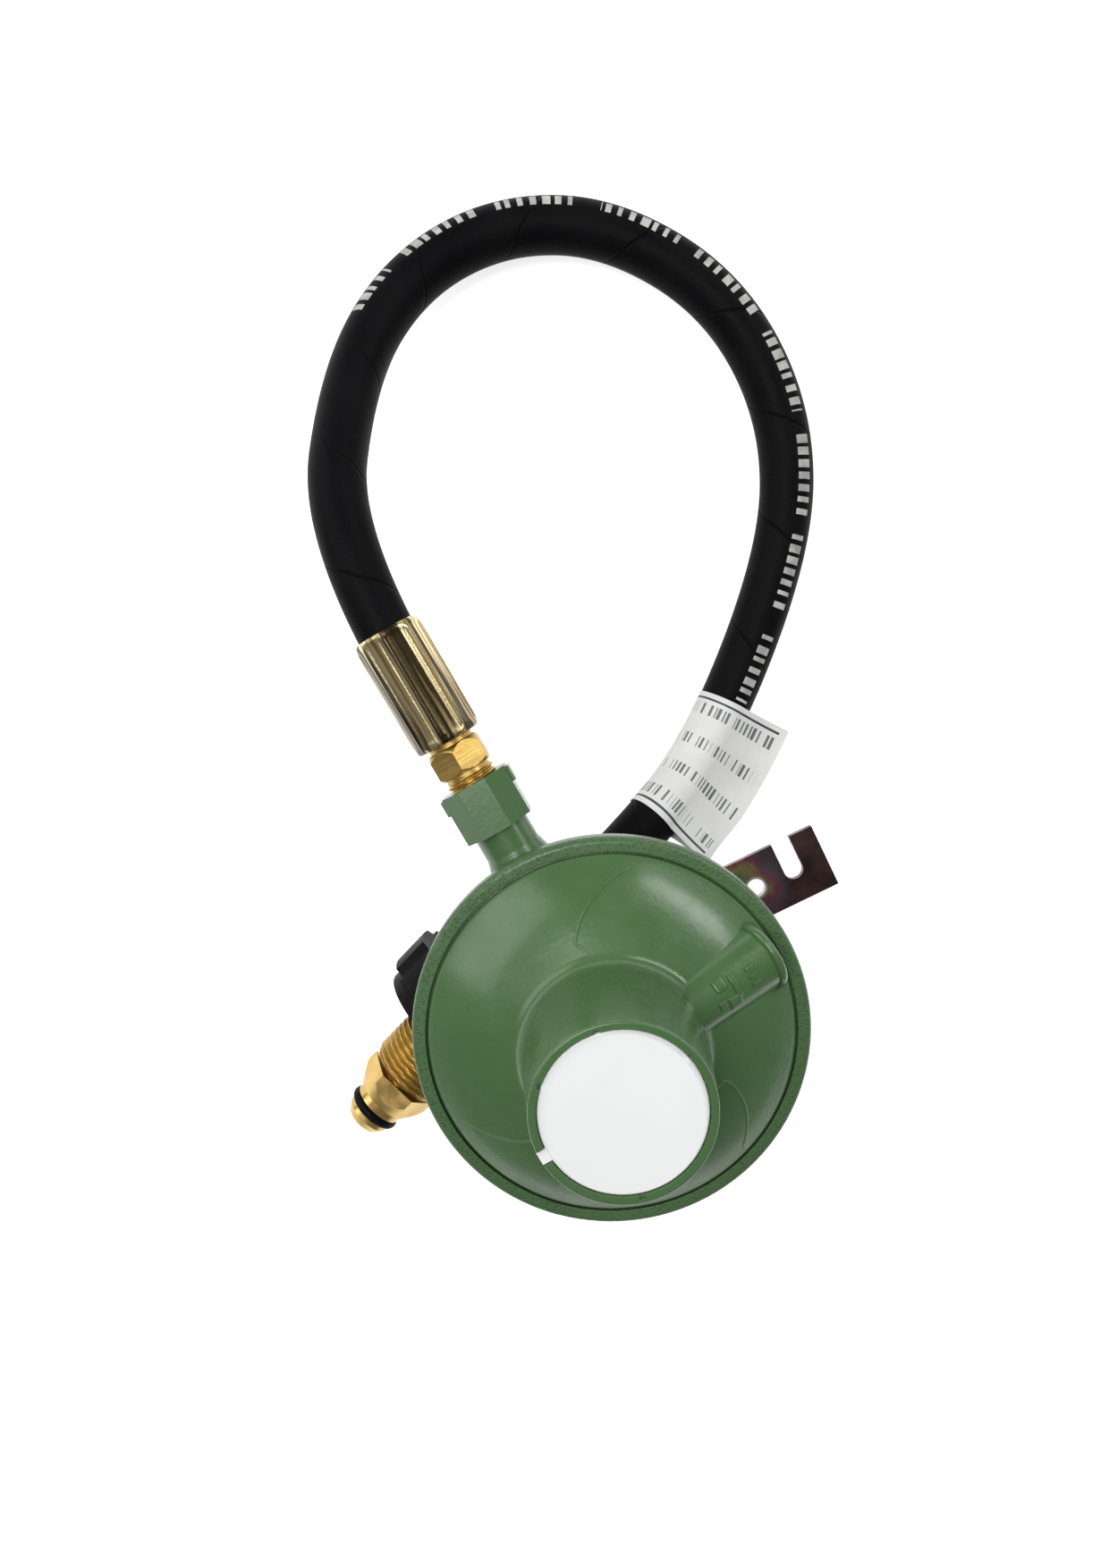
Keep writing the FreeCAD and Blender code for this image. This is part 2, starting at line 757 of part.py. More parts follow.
def pol_nipple():
    """Bull-nose spigot: rounded nose, O-ring groove, hexagon, shank and hose tail."""
    spigot = "spigot_radius"
    solid = turned(
        "nipple_blank",
        [
            (0, 0), (5.0, 0), (6.5, 2.2), (6.5, 3.5), (4.9, 3.5), (4.9, 6.5), (7.2, 6.5),
            (7.2, 17.2), (spigot, 17.2), (spigot, 52), (5.2, 52), (5.2, 53.2), (spigot, 53.2),
            (spigot, 54), (7.6, 54), (7.6, 55.9), ("stem_tail_diameter / 2", 55.9),
            ("stem_tail_diameter / 2", 84), (0, 84),
        ],
        on_connector(-5), CONNECTOR_AXIS,
    )
    hexagon = prism("nipple_hexagon", 6, "spigot_flats", 8, on_connector(4), CONNECTOR_AXIS, turn=12)
    ball = cone("hexagon_chamfer", 8.2, 12.6, 8, on_connector(4), CONNECTOR_AXIS)
    bore = cylinder("nipple_bore", "stem_bore / 2", 95, on_connector(-6), CONNECTOR_AXIS)
    chamfered = common("chamfered_hexagon", hexagon, ball)
    return cut("pol_nipple", fuse("nipple_body", [solid, chamfered]), [bore])


def nose_o_ring():
    return ring("nose_o_ring", 6.32, 1.4, on_connector(0), CONNECTOR_AXIS)


def retaining_ring():
    """Snap ring in the spigot's groove, which keeps the nut on."""
    disc = cylinder("ring_disc", 7.4, 1.0, on_connector(47.1), CONNECTOR_AXIS)
    hole = cylinder("ring_hole", 5.25, 3, on_connector(46), CONNECTOR_AXIS)
    return cut("retaining_ring", disc, [hole])


def pol_nut():
    """Left-hand external nut; its rear hexagon drives the handwheel."""
    barrel = cylinder(
        "nut_barrel", "connector_thread_radius", "thread_end - thread_start",
        on_connector("thread_start"), CONNECTOR_AXIS,
    )
    undercut = cylinder("nut_undercut", 10.3, 6, on_connector("thread_end - 2"), CONNECTOR_AXIS)
    drive = prism("nut_drive", 6, 20, 14.8, on_connector(31.9), CONNECTOR_AXIS)
    bore = cylinder("nut_bore", "spigot_radius + 0.08", 40, on_connector(10), CONNECTOR_AXIS)
    return cut("pol_nut", fuse("nut_body", [barrel, undercut, drive]), [bore])


def handwheel():
    """Moulded grip on the nut: a plain collar, a notched wheel and one forward finger."""
    collar = cylinder("wheel_collar", "wheel_collar_radius", 4.4, on_connector(32.1), CONNECTOR_AXIS)
    wheel = cylinder("wheel_disc", "wheel_radius", 10.8, on_connector(36), CONNECTOR_AXIS)
    sideways = CONNECTOR_AXIS.cross(UP) * -1
    lean = math.radians(22)
    reach = sideways * math.cos(lean) - UP * math.sin(lean)
    across = CONNECTOR_AXIS.cross(reach)
    tab = doc.addObject("Part::Box", "wheel_finger")
    tab.Length = 3.9
    tab.Width = 5.0
    tab.Height = 7.5
    corner = App.Vector(*on_connector("thread_end + 0.3")) + reach * 12.3 - across * 2.5
    tab.Placement = App.Placement(corner, App.Rotation(CONNECTOR_AXIS, across, reach, "XZY"))
    notches = []
    for index in range(8):
        turn = App.Rotation(CONNECTOR_AXIS, 22.5 + 45 * index)
        centre = App.Vector(*on_connector(35.5)) + turn.multVec(UP) * (value("wheel_radius") + 2.2)
        notches.append(cylinder(f"wheel_notch_{index}", 4, 13, tuple(centre), CONNECTOR_AXIS))
    drive = prism("wheel_drive", 6, 20.04, 20, on_connector(30), CONNECTOR_AXIS)
    body = fuse("wheel_body", [collar, wheel, tab])
    return cut("handwheel", body, [drive, *notches])


# ---- hose and its label ----------------------------------------------------------------
# The route's points in millimetres, from inside the inlet ferrule, round the loop on the
# table and under the regulator, to inside the cylinder end's ferrule.
HOSE_ROUTE = [
    (-88.0, 0.0, 46.5),
    (-138.3, 0.0, 46.5),
    (-179.9, 24.0, 22.0),
    (-196.5, 50.7, 12.0),
    (-196.5, 79.8, 8.5),
    (-181.4, 105.9, 7.6),
    (-150.1, 124.2, 7.6),
    (-113.5, 124.2, 7.6),
    (-80.8, 106.8, 7.6),
    (-41.0, 58.5, 9.2),
    (-30.5, 23.0, 24.6),
    (-19.1, -15.4, 24.6),
]
ARC_SHARE = 0.45


def route_radii(points):
    """Each inner point's largest tangent arc: 0.45 of the shorter run over tan(half turn)."""
    radii = []
    for before, corner, after in zip(points, points[1:], points[2:]):
        arriving = corner - before
        leaving = after - corner
        half_turn = arriving.getAngle(leaving) / 2
        shorter = min(arriving.Length, leaving.Length)
        radii.append(ARC_SHARE * shorter / math.tan(half_turn))
    return radii


def rounded_path(points, radii):
    """A wire of straight runs joined by tangent arcs."""
    edges = []
    here = points[0]
    for index, radius in enumerate(radii):
        corner = points[index + 1]
        back = (points[index] - corner).normalize()
        onward = (points[index + 2] - corner).normalize()
        half_turn = (math.pi - back.getAngle(onward)) / 2
        setback = radius * math.tan(half_turn)
        start = corner + back * setback
        end = corner + onward * setback
        to_centre = (back + onward).normalize()
        middle = corner + to_centre * (radius / math.cos(half_turn) - radius)
        edges.append(Part.LineSegment(here, start).toShape())
        edges.append(Part.Arc(start, middle, end).toShape())
        here = end
    edges.append(Part.LineSegment(here, points[-1]).toShape())
    return Part.Wire(edges)


def tube(path, outer_radius, inner_radius):
    """A tube along a wire that starts at its first point."""
    first = path.Edges[0]
    start = first.valueAt(first.FirstParameter)
    direction = first.tangentAt(first.FirstParameter)
    solids = []
    for radius in (outer_radius, inner_radius):
        section = Part.Wire([Part.makeCircle(radius, start, direction)])
        solids.append(path.makePipeShell([section], True, True))
    return solids[0].cut(solids[1])


def hose():
    """Rubber hose along its route, compared with its section times its length."""
    points = [App.Vector(*point) for point in HOSE_ROUTE]
    points[0].z = value("inlet_height")
    radii = route_radii(points)
    path = rounded_path(points, radii)
    outer = value("hose_diameter") / 2
    inner = value("hose_bore") / 2
    shape = tube(path, outer, inner)
    section = math.pi * (outer**2 - inner**2)
    print("hose radii, mm:", [round(radius, 1) for radius in radii])
    print("hose runs, mm:", [round((b - a).Length, 1) for a, b in zip(points, points[1:])])
    print("hose length, mm:", round(path.Length, 1))
    print("hose volume over section times length:", round(shape.Volume / section / path.Length, 4))
    item = doc.addObject("Part::Feature", "hose")
    item.Shape = shape
    return item


def hose_label():
    """Paper label: a sleeve round the hose's bend near the regulator, with a free flap."""
    points = [App.Vector(*point) for point in HOSE_ROUTE]
    before, corner, after = points[8:11]
    radius = route_radii([before, corner, after])[0]
    first = corner + (before - corner).normalize() * 18.2
    last = corner + (after - corner).normalize() * 21.5
    outer = value("hose_diameter") / 2 + 0.45
    path = rounded_path([first, corner, last], [radius])
    sleeve = tube(path, outer, outer - 0.4)
    arriving = (corner - first).normalize()
    outward = UP.cross(arriving).normalize()
    lift = arriving.cross(outward)
    corners = [(7.0, 4.0), (20.5, 1.6), (20.4, 1.1), (6.9, 3.5)]
    outline = [first + outward * reach + lift * rise for reach, rise in corners]
    strip = Part.Wire(Part.makePolygon([*outline, outline[0]]).Edges)
    flap = path.makePipeShell([strip], True, True)
    item = doc.addObject("Part::Feature", "hose_label")
    item.Shape = sleeve.fuse(flap).removeSplitter()
    return item


def build():
    """Every node of the assembly, by name."""
    bonnet_item, screen = bonnet()
    nodes = {
        "lower_casing": lower_casing(),
        "bonnet": bonnet_item,
        "vent_screen": screen,
        "tower_cap": tower_cap(),
        "cap_seal": ring("cap_seal", "tower_bore - 0.85", 0.72, (0, 0, "tower_top - 9.8")),
        "adjusting_nut": adjusting_nut(),
        "spring_top_seat": spring_top_seat(),
        "main_spring": spring(
            "main_spring", "spring_radius", "spring_wire", "spring_base + spring_wire / 2",
            "spring_top - spring_base - spring_wire", "spring_pitch",
        ),
        "diaphragm": diaphragm(),
        "diaphragm_plate": diaphragm_plate(),
        "diaphragm_washer": diaphragm_washer(),
        "diaphragm_stem": diaphragm_stem(),
        "relief_spring": spring("relief_spring", 4.6, 1.0, "spring_base + 0.55", 7.6, 2.0),
        "relief_nut": relief_nut(),
        "lever": lever(),
        "lever_pin": lever_pin(),
        "valve_poppet": valve_poppet(),
        "valve_disc": valve_disc(),
        "valve_orifice": valve_orifice(),
        "inlet_filter": inlet_filter(),
        "mounting_bracket": mounting_bracket(),
        "bracket_screws": bracket_screws(),
        "inlet_stem": inlet_stem(),
        "inlet_ferrule": ferrule("inlet_ferrule", on_inlet("82.2"), WEST),
        "pol_nipple": pol_nipple(),
        "nose_o_ring": nose_o_ring(),
        "retaining_ring": retaining_ring(),
        "pol_nut": pol_nut(),
        "handwheel": handwheel(),
        "cylinder_ferrule": ferrule(
            "cylinder_ferrule", on_connector("cylinder_ferrule_start"), CONNECTOR_AXIS
        ),
        "hose": hose(),
        "hose_label": hose_label(),
    }
    doc.recompute()
    for name, item in nodes.items():
        item.Label = name
    return nodes


def check(nodes):
    """Stops if any object failed or any sub-part's shape is empty or invalid."""
    for item in doc.Objects:
        if "Invalid" in item.State or "Error" in item.State:
            raise RuntimeError(f"{item.Name} failed: {item.getStatusString()}")
    for name, item in nodes.items():
        if item.Shape.isNull() or not item.Shape.isValid() or item.Shape.Volume <= 0:
            raise RuntimeError(f"{name} has no valid shape")


def export(nodes):
    os.makedirs("parts", exist_ok=True)
    for name, item in nodes.items():
        item.Shape.exportStep(f"parts/{name}.step")
        print(f"{name:20s} {len(item.Shape.Solids)} solid(s) {item.Shape.Volume:12.1f} mm3")


nodes = build()
check(nodes)
export(nodes)
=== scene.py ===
"""Looks of a low-pressure gas regulator with its hose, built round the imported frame.

Lengths are in metres. The frame's +Z is the regulator's axis, its inlet points to -X, and its
bracket and vent to +Y. Each new piece is a grid of points worked out from a formula.
"""

import math

import bmesh
import bpy
import numpy as np
from mathutils import Matrix, Vector

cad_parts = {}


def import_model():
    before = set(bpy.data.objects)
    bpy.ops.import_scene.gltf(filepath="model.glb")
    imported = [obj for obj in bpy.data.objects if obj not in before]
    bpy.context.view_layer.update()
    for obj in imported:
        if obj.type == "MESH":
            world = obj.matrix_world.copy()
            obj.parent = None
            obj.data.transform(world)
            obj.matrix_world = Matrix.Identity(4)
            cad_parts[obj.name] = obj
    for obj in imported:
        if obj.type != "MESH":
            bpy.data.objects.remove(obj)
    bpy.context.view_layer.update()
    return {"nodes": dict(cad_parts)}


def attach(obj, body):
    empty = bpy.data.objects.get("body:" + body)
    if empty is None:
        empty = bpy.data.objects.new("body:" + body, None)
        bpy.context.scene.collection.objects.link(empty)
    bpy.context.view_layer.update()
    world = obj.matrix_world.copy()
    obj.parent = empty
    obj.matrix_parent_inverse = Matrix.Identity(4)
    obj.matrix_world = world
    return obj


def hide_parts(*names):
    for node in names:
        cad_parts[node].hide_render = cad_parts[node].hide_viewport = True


MM = 0.001
UP = np.array((0.0, 0.0, 1.0))
INLET_POINT = np.array((0.0, 0.0, 0.0465))
INLET_AXIS = np.array((-1.0, 0.0, 0.0))
CONNECTOR_TURN = math.radians(106.5)
CONNECTOR_POINT = np.array((-0.0015, -0.0748, 0.0246))
CONNECTOR_AXIS = np.array((math.cos(CONNECTOR_TURN), math.sin(CONNECTOR_TURN), 0.0))

HOSE_RADIUS = 0.0075
HOSE_ROUTE = [
    (-0.0880, 0.0000, 0.0465),
    (-0.1383, -0.0020, 0.0485),
    (-0.1799, 0.0240, 0.0220),
    (-0.1965, 0.0507, 0.0120),
    (-0.1965, 0.0798, 0.0085),
    (-0.1814, 0.1059, 0.0076),
    (-0.1501, 0.1242, 0.0076),
    (-0.1135, 0.1242, 0.0076),
    (-0.0808, 0.1068, 0.0076),
    (-0.0410, 0.0585, 0.0092),
    (-0.0305, 0.0230, 0.0257),
    (-0.0191, -0.0154, 0.0246),
]


# ---- meshes ----------------------------------------------------------------------------
def surface(name, points, uvs=None, sharp_degrees=40):
    """A grid of points as a mesh: point (i, j) joins (i + 1, j) and (i, j + 1).

    Points that meet are merged, faces are turned outwards, and edges sharper than the given
    angle stay sharp. uvs holds one pair for each point.
    """
    rows, columns = points.shape[:2]
    down, across = np.meshgrid(np.arange(rows - 1), np.arange(columns - 1), indexing="ij")
    first = (down * columns + across).ravel()
    quads = np.stack([first, first + 1, first + columns + 1, first + columns], axis=1)
    mesh = bpy.data.meshes.new(name)
    mesh.from_pydata(points.reshape(-1, 3).tolist(), [], quads.tolist())
    if uvs is not None:
        layer = mesh.uv_layers.new(name="surface_map")
        corner_uvs = uvs.reshape(-1, 2)[quads.ravel()]
        layer.data.foreach_set("uv", corner_uvs.ravel().astype(np.float32))
    return cleaned(mesh, [mesh], sharp_degrees)


def cleaned(target, sources, sharp_degrees=40):
    """Joins meshes into one, merges points that meet and turns the faces outwards."""
    work = bmesh.new()
    for source in sources:
        work.from_mesh(source)
    bmesh.ops.remove_doubles(work, verts=work.verts, dist=1e-6)
    bmesh.ops.dissolve_degenerate(work, edges=work.edges, dist=1e-7)
    bmesh.ops.recalc_face_normals(work, faces=work.faces)
    work.to_mesh(target)
    work.free()
    target.shade_smooth()
    target.set_sharp_from_angle(angle=math.radians(sharp_degrees))
    return target


def joined(name, parts, sharp_degrees=40):
    """Several meshes as one."""
    return cleaned(bpy.data.meshes.new(name), parts, sharp_degrees)


def side_and_lift(axis):
    """Two unit directions square to an axis, in right-handed order with it."""
    guide = UP if abs(axis[2]) < 0.9 else np.array((0.0, -1.0, 0.0))
    side = np.cross(axis, guide)
    side = side / np.linalg.norm(side)
    return side, np.cross(axis, side)


def around(columns):
    """Angles once round, with the first repeated at the end."""
    return np.linspace(0.0, 2 * np.pi, columns + 1)


def lathe(name, point, axis, along, radius, sharp_degrees=40):
    """Point + axis * along + radius * (side * cos(angle) + lift * sin(angle)).

    along holds one distance for each row, and radius one value for each row and column.
    The map runs once round in u, and in v by metres along the axis times 10.
    """
    side, lift = side_and_lift(axis)
    angle = around(radius.shape[1] - 1)
    spokes = side * np.cos(angle)[:, None] + lift * np.sin(angle)[:, None]
    points = point + axis * along[:, None, None] + radius[:, :, None] * spokes[None, :, :]
    u = np.broadcast_to(angle / (2 * np.pi), radius.shape)
    v = np.broadcast_to((along * 10)[:, None], radius.shape)
    return surface(name, points, np.stack([u, v], axis=-1), sharp_degrees)


def outline(corners, columns, steps=1):
    """A turned profile: (distance, radius) corners in mm as rows, radius repeated round."""
    corners = np.array(corners, float) * MM
    stops = np.arange(len(corners))
    places = np.linspace(0, len(corners) - 1, (len(corners) - 1) * steps + 1)
    along = np.interp(places, stops, corners[:, 0])
    radius = np.interp(places, stops, corners[:, 1])
    return along, np.repeat(radius[:, None], columns + 1, axis=1)


def flats(angle, sides, across, turn=0.0):
    """Radius of a regular prism's outline: half the width over cos(angle from a flat)."""
    step = 2 * np.pi / sides
    return across / 2 / np.cos((angle - turn) % step - step / 2)


def smooth(low, high, values):
    """0 below low, 1 above high, and an S-shaped rise between."""
    share = np.clip((values - low) / (high - low), 0, 1)
    return share * share * (3 - 2 * share)


def thread(along, angle, crest, depth, pitch, hand):
    """Crest radius less depth where along / pitch - hand * angle is between two turns."""
    phase = along / pitch - hand * angle / (2 * np.pi)
    wave = np.abs(2 * (phase - np.floor(phase)) - 1)
    return crest - depth * (1 - np.clip(1.3 * wave - 0.15, 0, 1))


def swept(name, line, side, lift, across, rise, uvs=None, sharp_degrees=40):
    """Line point + side * across + lift * rise, for each row of the line."""
    points = (
        line[:, None, :]
        + side[:, None, :] * across[:, :, None]
        + lift[:, None, :] * rise[:, :, None]
    )
    return surface(name, points, uvs, sharp_degrees)


def piece(name, mesh, body, material, replaced=()):
    """A finished mesh as an object that rides on a body and stands for the named nodes."""
    item = bpy.data.objects.new(name, mesh)
    bpy.context.scene.collection.objects.link(item)
    mesh.materials.clear()
    mesh.materials.append(material)
    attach(item, body)
    if replaced:
        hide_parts(*replaced)
    return item


# ---- shader nodes ----------------------------------------------------------------------
def add(tree, kind, inputs=None, **settings):
    """A shader node. An input that is given a socket is linked, any other value is set."""
    item = tree.nodes.new("ShaderNode" + kind)
    for name, setting in settings.items():
        setattr(item, name, setting)
    for key, source in (inputs or {}).items():
        if isinstance(source, bpy.types.NodeSocket):
            tree.links.new(source, item.inputs[key])
        else:
            item.inputs[key].default_value = source
    return item


def maths(tree, operation, first, second=0.0, third=0.0, clamp=False):
    """The result of one sum on values or sockets."""
    item = add(tree, "Math", {0: first, 1: second, 2: third}, operation=operation, use_clamp=clamp)
    return item.outputs[0]


def blend(tree, factor, low, high):
    """A colour between low and high."""
    item = add(tree, "Mix", {0: factor, 6: low, 7: high}, data_type="RGBA")
    return item.outputs[2]


def ramp(tree, value, low, high, start=0.0, end=1.0):
    """A value carried from low..high to start..end, and held outside."""
    item = add(
        tree,
        "MapRange",
        {"Value": value, "From Min": low, "From Max": high, "To Min": start, "To Max": end},
    )
    return item.outputs[0]


def colour(red, green, blue):
    """A shader colour."""
    return (red, green, blue, 1.0)


def object_place(tree):
    """A point's place in the frame."""
    return add(tree, "TexCoord").outputs["Object"]


def split(tree, vector):
    """The three parts of a vector."""
    return add(tree, "SeparateXYZ", {0: vector}).outputs


def own_map(tree):
    """The piece's own map: u once round, v along."""
    return add(tree, "UVMap", uv_map="surface_map").outputs[0]


def new_group(name, inputs, outputs):
    """An empty node group with named sockets, and its input and output nodes."""
    tree = bpy.data.node_groups.new(name, "ShaderNodeTree")
    for socket, kind, default in inputs:
        made = tree.interface.new_socket(socket, in_out="INPUT", socket_type=kind)
        if default is not None:
            made.default_value = default
    for socket, kind in outputs:
        tree.interface.new_socket(socket, in_out="OUTPUT", socket_type=kind)
    return tree, tree.nodes.new("NodeGroupInput").outputs, tree.nodes.new("NodeGroupOutput").inputs


def grain_group():
    """Fine skin of a surface: two sizes of noise added as a height, and one as a mask."""
    tree, given, made = new_group(
        "surface_grain",
        [
            ("Vector", "NodeSocketVector", None),
            ("Scale", "NodeSocketFloat", 900.0),
            ("Coarse Share", "NodeSocketFloat", 0.3),
        ],
        [("Height", "NodeSocketFloat"), ("Mask", "NodeSocketFloat")],
    )
    fine = add(tree, "TexNoise", {"Vector": given["Vector"], "Scale": given["Scale"], "Detail": 2.0})
    wide_scale = maths(tree, "MULTIPLY", given["Scale"], 0.16)
    wide = add(tree, "TexNoise", {"Vector": given["Vector"], "Scale": wide_scale, "Detail": 3.0})
    coarse = maths(tree, "MULTIPLY", wide.outputs[0], given["Coarse Share"])
    height = maths(tree, "ADD", fine.outputs[0], coarse)
    tree.links.new(height, made["Height"])
    tree.links.new(ramp(tree, wide.outputs[0], 0.35, 0.65), made["Mask"])
    return tree


def patch_group():
    """Colour that wanders between two tones in soft patches."""
    tree, given, made = new_group(
        "patchy_tone",
        [
            ("Vector", "NodeSocketVector", None),
            ("Scale", "NodeSocketFloat", 60.0),
            ("First", "NodeSocketColor", colour(0.5, 0.5, 0.5)),
            ("Second", "NodeSocketColor", colour(0.4, 0.4, 0.4)),
            ("Contrast", "NodeSocketFloat", 0.2),
        ],
        [("Color", "NodeSocketColor"), ("Mask", "NodeSocketFloat")],
    )
    noise = add(
        tree, "TexNoise", {"Vector": given["Vector"], "Scale": given["Scale"], "Detail": 4.0}
    )
    low = maths(tree, "SUBTRACT", 0.5, given["Contrast"])
    high = maths(tree, "ADD", 0.5, given["Contrast"])
    mask = ramp(tree, noise.outputs[0], low, high)
    tree.links.new(blend(tree, mask, given["First"], given["Second"]), made["Color"])
    tree.links.new(mask, made["Mask"])
    return tree


def streak_group():
    """Lines drawn out along one way of the map, as a tool or a die leaves on metal."""
    tree, given, made = new_group(
        "tool_streaks",
        [
            ("Vector", "NodeSocketVector", None),
            ("Stretch", "NodeSocketVector", (1.0, 1.0, 1.0)),
            ("Scale", "NodeSocketFloat", 40.0),
        ],
        [("Height", "NodeSocketFloat"), ("Mask", "NodeSocketFloat")],
    )
    drawn = add(tree, "VectorMath", {0: given["Vector"], 1: given["Stretch"]}, operation="MULTIPLY")
    noise = add(
        tree, "TexNoise", {"Vector": drawn.outputs[0], "Scale": given["Scale"], "Detail": 3.0}
    )
    tree.links.new(noise.outputs[0], made["Height"])
    tree.links.new(ramp(tree, noise.outputs[0], 0.4, 0.6), made["Mask"])
    return tree


def speck_group():
    """Sparse small spots: cells of a Voronoi pattern whose random value is high."""
    tree, given, made = new_group(
        "sparse_specks",
        [
            ("Vector", "NodeSocketVector", None),
            ("Scale", "NodeSocketFloat", 200.0),
            ("Share", "NodeSocketFloat", 0.03),
            ("Size", "NodeSocketFloat", 0.25),
        ],
        [("Mask", "NodeSocketFloat")],
    )
    cells = add(tree, "TexVoronoi", {"Vector": given["Vector"], "Scale": given["Scale"]})
    chosen = add(tree, "SeparateColor", {0: cells.outputs["Color"]}).outputs[0]
    rare = maths(tree, "LESS_THAN", chosen, given["Share"])
    near = maths(tree, "LESS_THAN", cells.outputs["Distance"], given["Size"])
    tree.links.new(maths(tree, "MULTIPLY", rare, near), made["Mask"])
    return tree


def group(tree, name, inputs):
    """A node group placed in a material with its own values."""
    return add(tree, "Group", inputs, node_tree=bpy.data.node_groups[name]).outputs


def new_material(name, **constants):
    """A material with one Principled shader, and its constant sockets."""
    material = bpy.data.materials.new(name)
    material.use_nodes = True
    tree = material.node_tree
    shader = tree.nodes["Principled BSDF"]
    for socket, value in constants.items():
        shader.inputs[socket.replace("_", " ").title().replace("Ior", "IOR")].default_value = value
    return material, tree, shader


def drive(tree, shader, **sources):
    """Links sockets that change over the surface into the shader."""
    for socket, source in sources.items():
        tree.links.new(source, shader.inputs[socket.replace("_", " ").title()])


def bump(tree, height, distance, strength=1.0):
    """A normal from a height."""
    item = add(tree, "Bump", {"Height": height, "Distance": distance, "Strength": strength})
    return item.outputs[0]


# ---- materials -------------------------------------------------------------------------
PAINT = colour(0.074, 0.164, 0.055)
PAINT_DEEP = colour(0.055, 0.125, 0.041)
CHIP = colour(0.012, 0.016, 0.012)


def paint_colour(tree, place):
    """Sage green with soft deeper patches and a few dark chips."""
    tone = group(
        tree,
        "patchy_tone",
        {"Vector": place, "Scale": 34.0, "First": PAINT, "Second": PAINT_DEEP, "Contrast": 0.3},
    )
    chips = group(tree, "sparse_specks", {"Vector": place, "Scale": 260.0, "Share": 0.003, "Size": 0.13})
    return blend(tree, chips["Mask"], tone["Color"], CHIP), chips["Mask"]


def green_paint():
    """Glossy powder coat with its orange-peel skin."""
    material, tree, shader = new_material(
        "green_paint", specular_ior_level=0.35, coat_weight=0.42, coat_roughness=0.18
    )
    place = object_place(tree)
    base, chips = paint_colour(tree, place)
    skin = group(tree, "surface_grain", {"Vector": place, "Scale": 950.0, "Coarse Share": 1.6})
    height = maths(tree, "SUBTRACT", skin["Height"], maths(tree, "MULTIPLY", chips, 2.0))
    rough = ramp(tree, skin["Mask"], 0.0, 1.0, 0.24, 0.36)
    drive(tree, shader, base_color=base, roughness=rough, normal=bump(tree, height, 0.00007, 0.8))
    return material


RIM_BAND_RADIUS = (0.0456, 0.0462)
RIM_BAND_HEIGHT = (0.0598, 0.0606)


def rim_paint():
    """The same coat, with the rolled rim's band of fine pricks outside the bonnet, painted darker as shade in
    the pricks' pits and a little darker over the whole band.
    """
    material, tree, shader = new_material(
        "rim_paint", specular_ior_level=0.35, coat_weight=0.35, coat_roughness=0.22
    )
    place = object_place(tree)
    x, y, z = split(tree, place)
    square = maths(tree, "ADD", maths(tree, "MULTIPLY", x, x), maths(tree, "MULTIPLY", y, y))
    outside = ramp(tree, maths(tree, "SQRT", square), *RIM_BAND_RADIUS)
    raised = ramp(tree, z, *RIM_BAND_HEIGHT)
    band = maths(tree, "MULTIPLY", outside, raised)
    base, _ = paint_colour(tree, place)
    pricks = add(tree, "TexVoronoi", {"Vector": place, "Scale": 1500.0, "Randomness": 0.8})
    dots = ramp(tree, pricks.outputs["Distance"], 0.12, 0.5)
    skin = group(tree, "surface_grain", {"Vector": place, "Scale": 950.0, "Coarse Share": 1.6})
    low = maths(tree, "MULTIPLY", skin["Height"], 0.5)
    high = maths(tree, "MULTIPLY", dots, maths(tree, "MULTIPLY", band, 2.0))
    # Painted shade: the band is darkened towards deep green, most at the centre of each prick's pit, where
    # shade falls.
    shade = maths(tree, "MULTIPLY", band, ramp(tree, dots, 0.0, 0.8, 0.5, 0.12))
    colour_with_painted_pit_shade = blend(tree, shade, base, colour(0.03, 0.055, 0.026))
    rough = ramp(tree, band, 0.0, 1.0, 0.3, 0.46)
    normal = bump(tree, maths(tree, "ADD", low, high), 0.0001, 0.9)
    drive(tree, shader, base_color=colour_with_painted_pit_shade, roughness=rough, normal=normal)
    return material


def white_cap():
    """Smooth moulded white plastic with faint flow marks."""
    material, tree, shader = new_material("white_cap", coat_weight=0.3, coat_roughness=0.1)
    place = object_place(tree)
    skin = group(tree, "surface_grain", {"Vector": place, "Scale": 700.0, "Coarse Share": 2.0})
    tone = group(
        tree,
        "patchy_tone",
        {
            "Vector": place,
            "Scale": 45.0,
            "First": colour(0.95, 0.95, 0.95),
            "Second": colour(0.925, 0.93, 0.925),
            "Contrast": 0.2,
        },
    )
    rough = ramp(tree, skin["Mask"], 0.0, 1.0, 0.3, 0.38)
    normal = bump(tree, skin["Height"], 0.00003, 0.5)
    drive(tree, shader, base_color=tone["Color"], roughness=rough, normal=normal)
    return material


def rubber(name, tone, worn, scale, low, high):
    """Moulded rubber or plastic: near black, with a dusty tone in patches and a fine skin."""
    material, tree, shader = new_material(name, specular_ior_level=0.05)
    place = object_place(tree)
    shade = group(
        tree,
        "patchy_tone",
        {"Vector": place, "Scale": 90.0, "First": tone, "Second": worn, "Contrast": 0.22},
    )
    skin = group(tree, "surface_grain", {"Vector": place, "Scale": scale, "Coarse Share": 0.6})
    rough = ramp(tree, shade["Mask"], 0.0, 1.0, low, high)
    normal = bump(tree, skin["Height"], 0.00006, 0.7)
    drive(tree, shader, base_color=shade["Color"], roughness=rough, normal=normal)
    return material


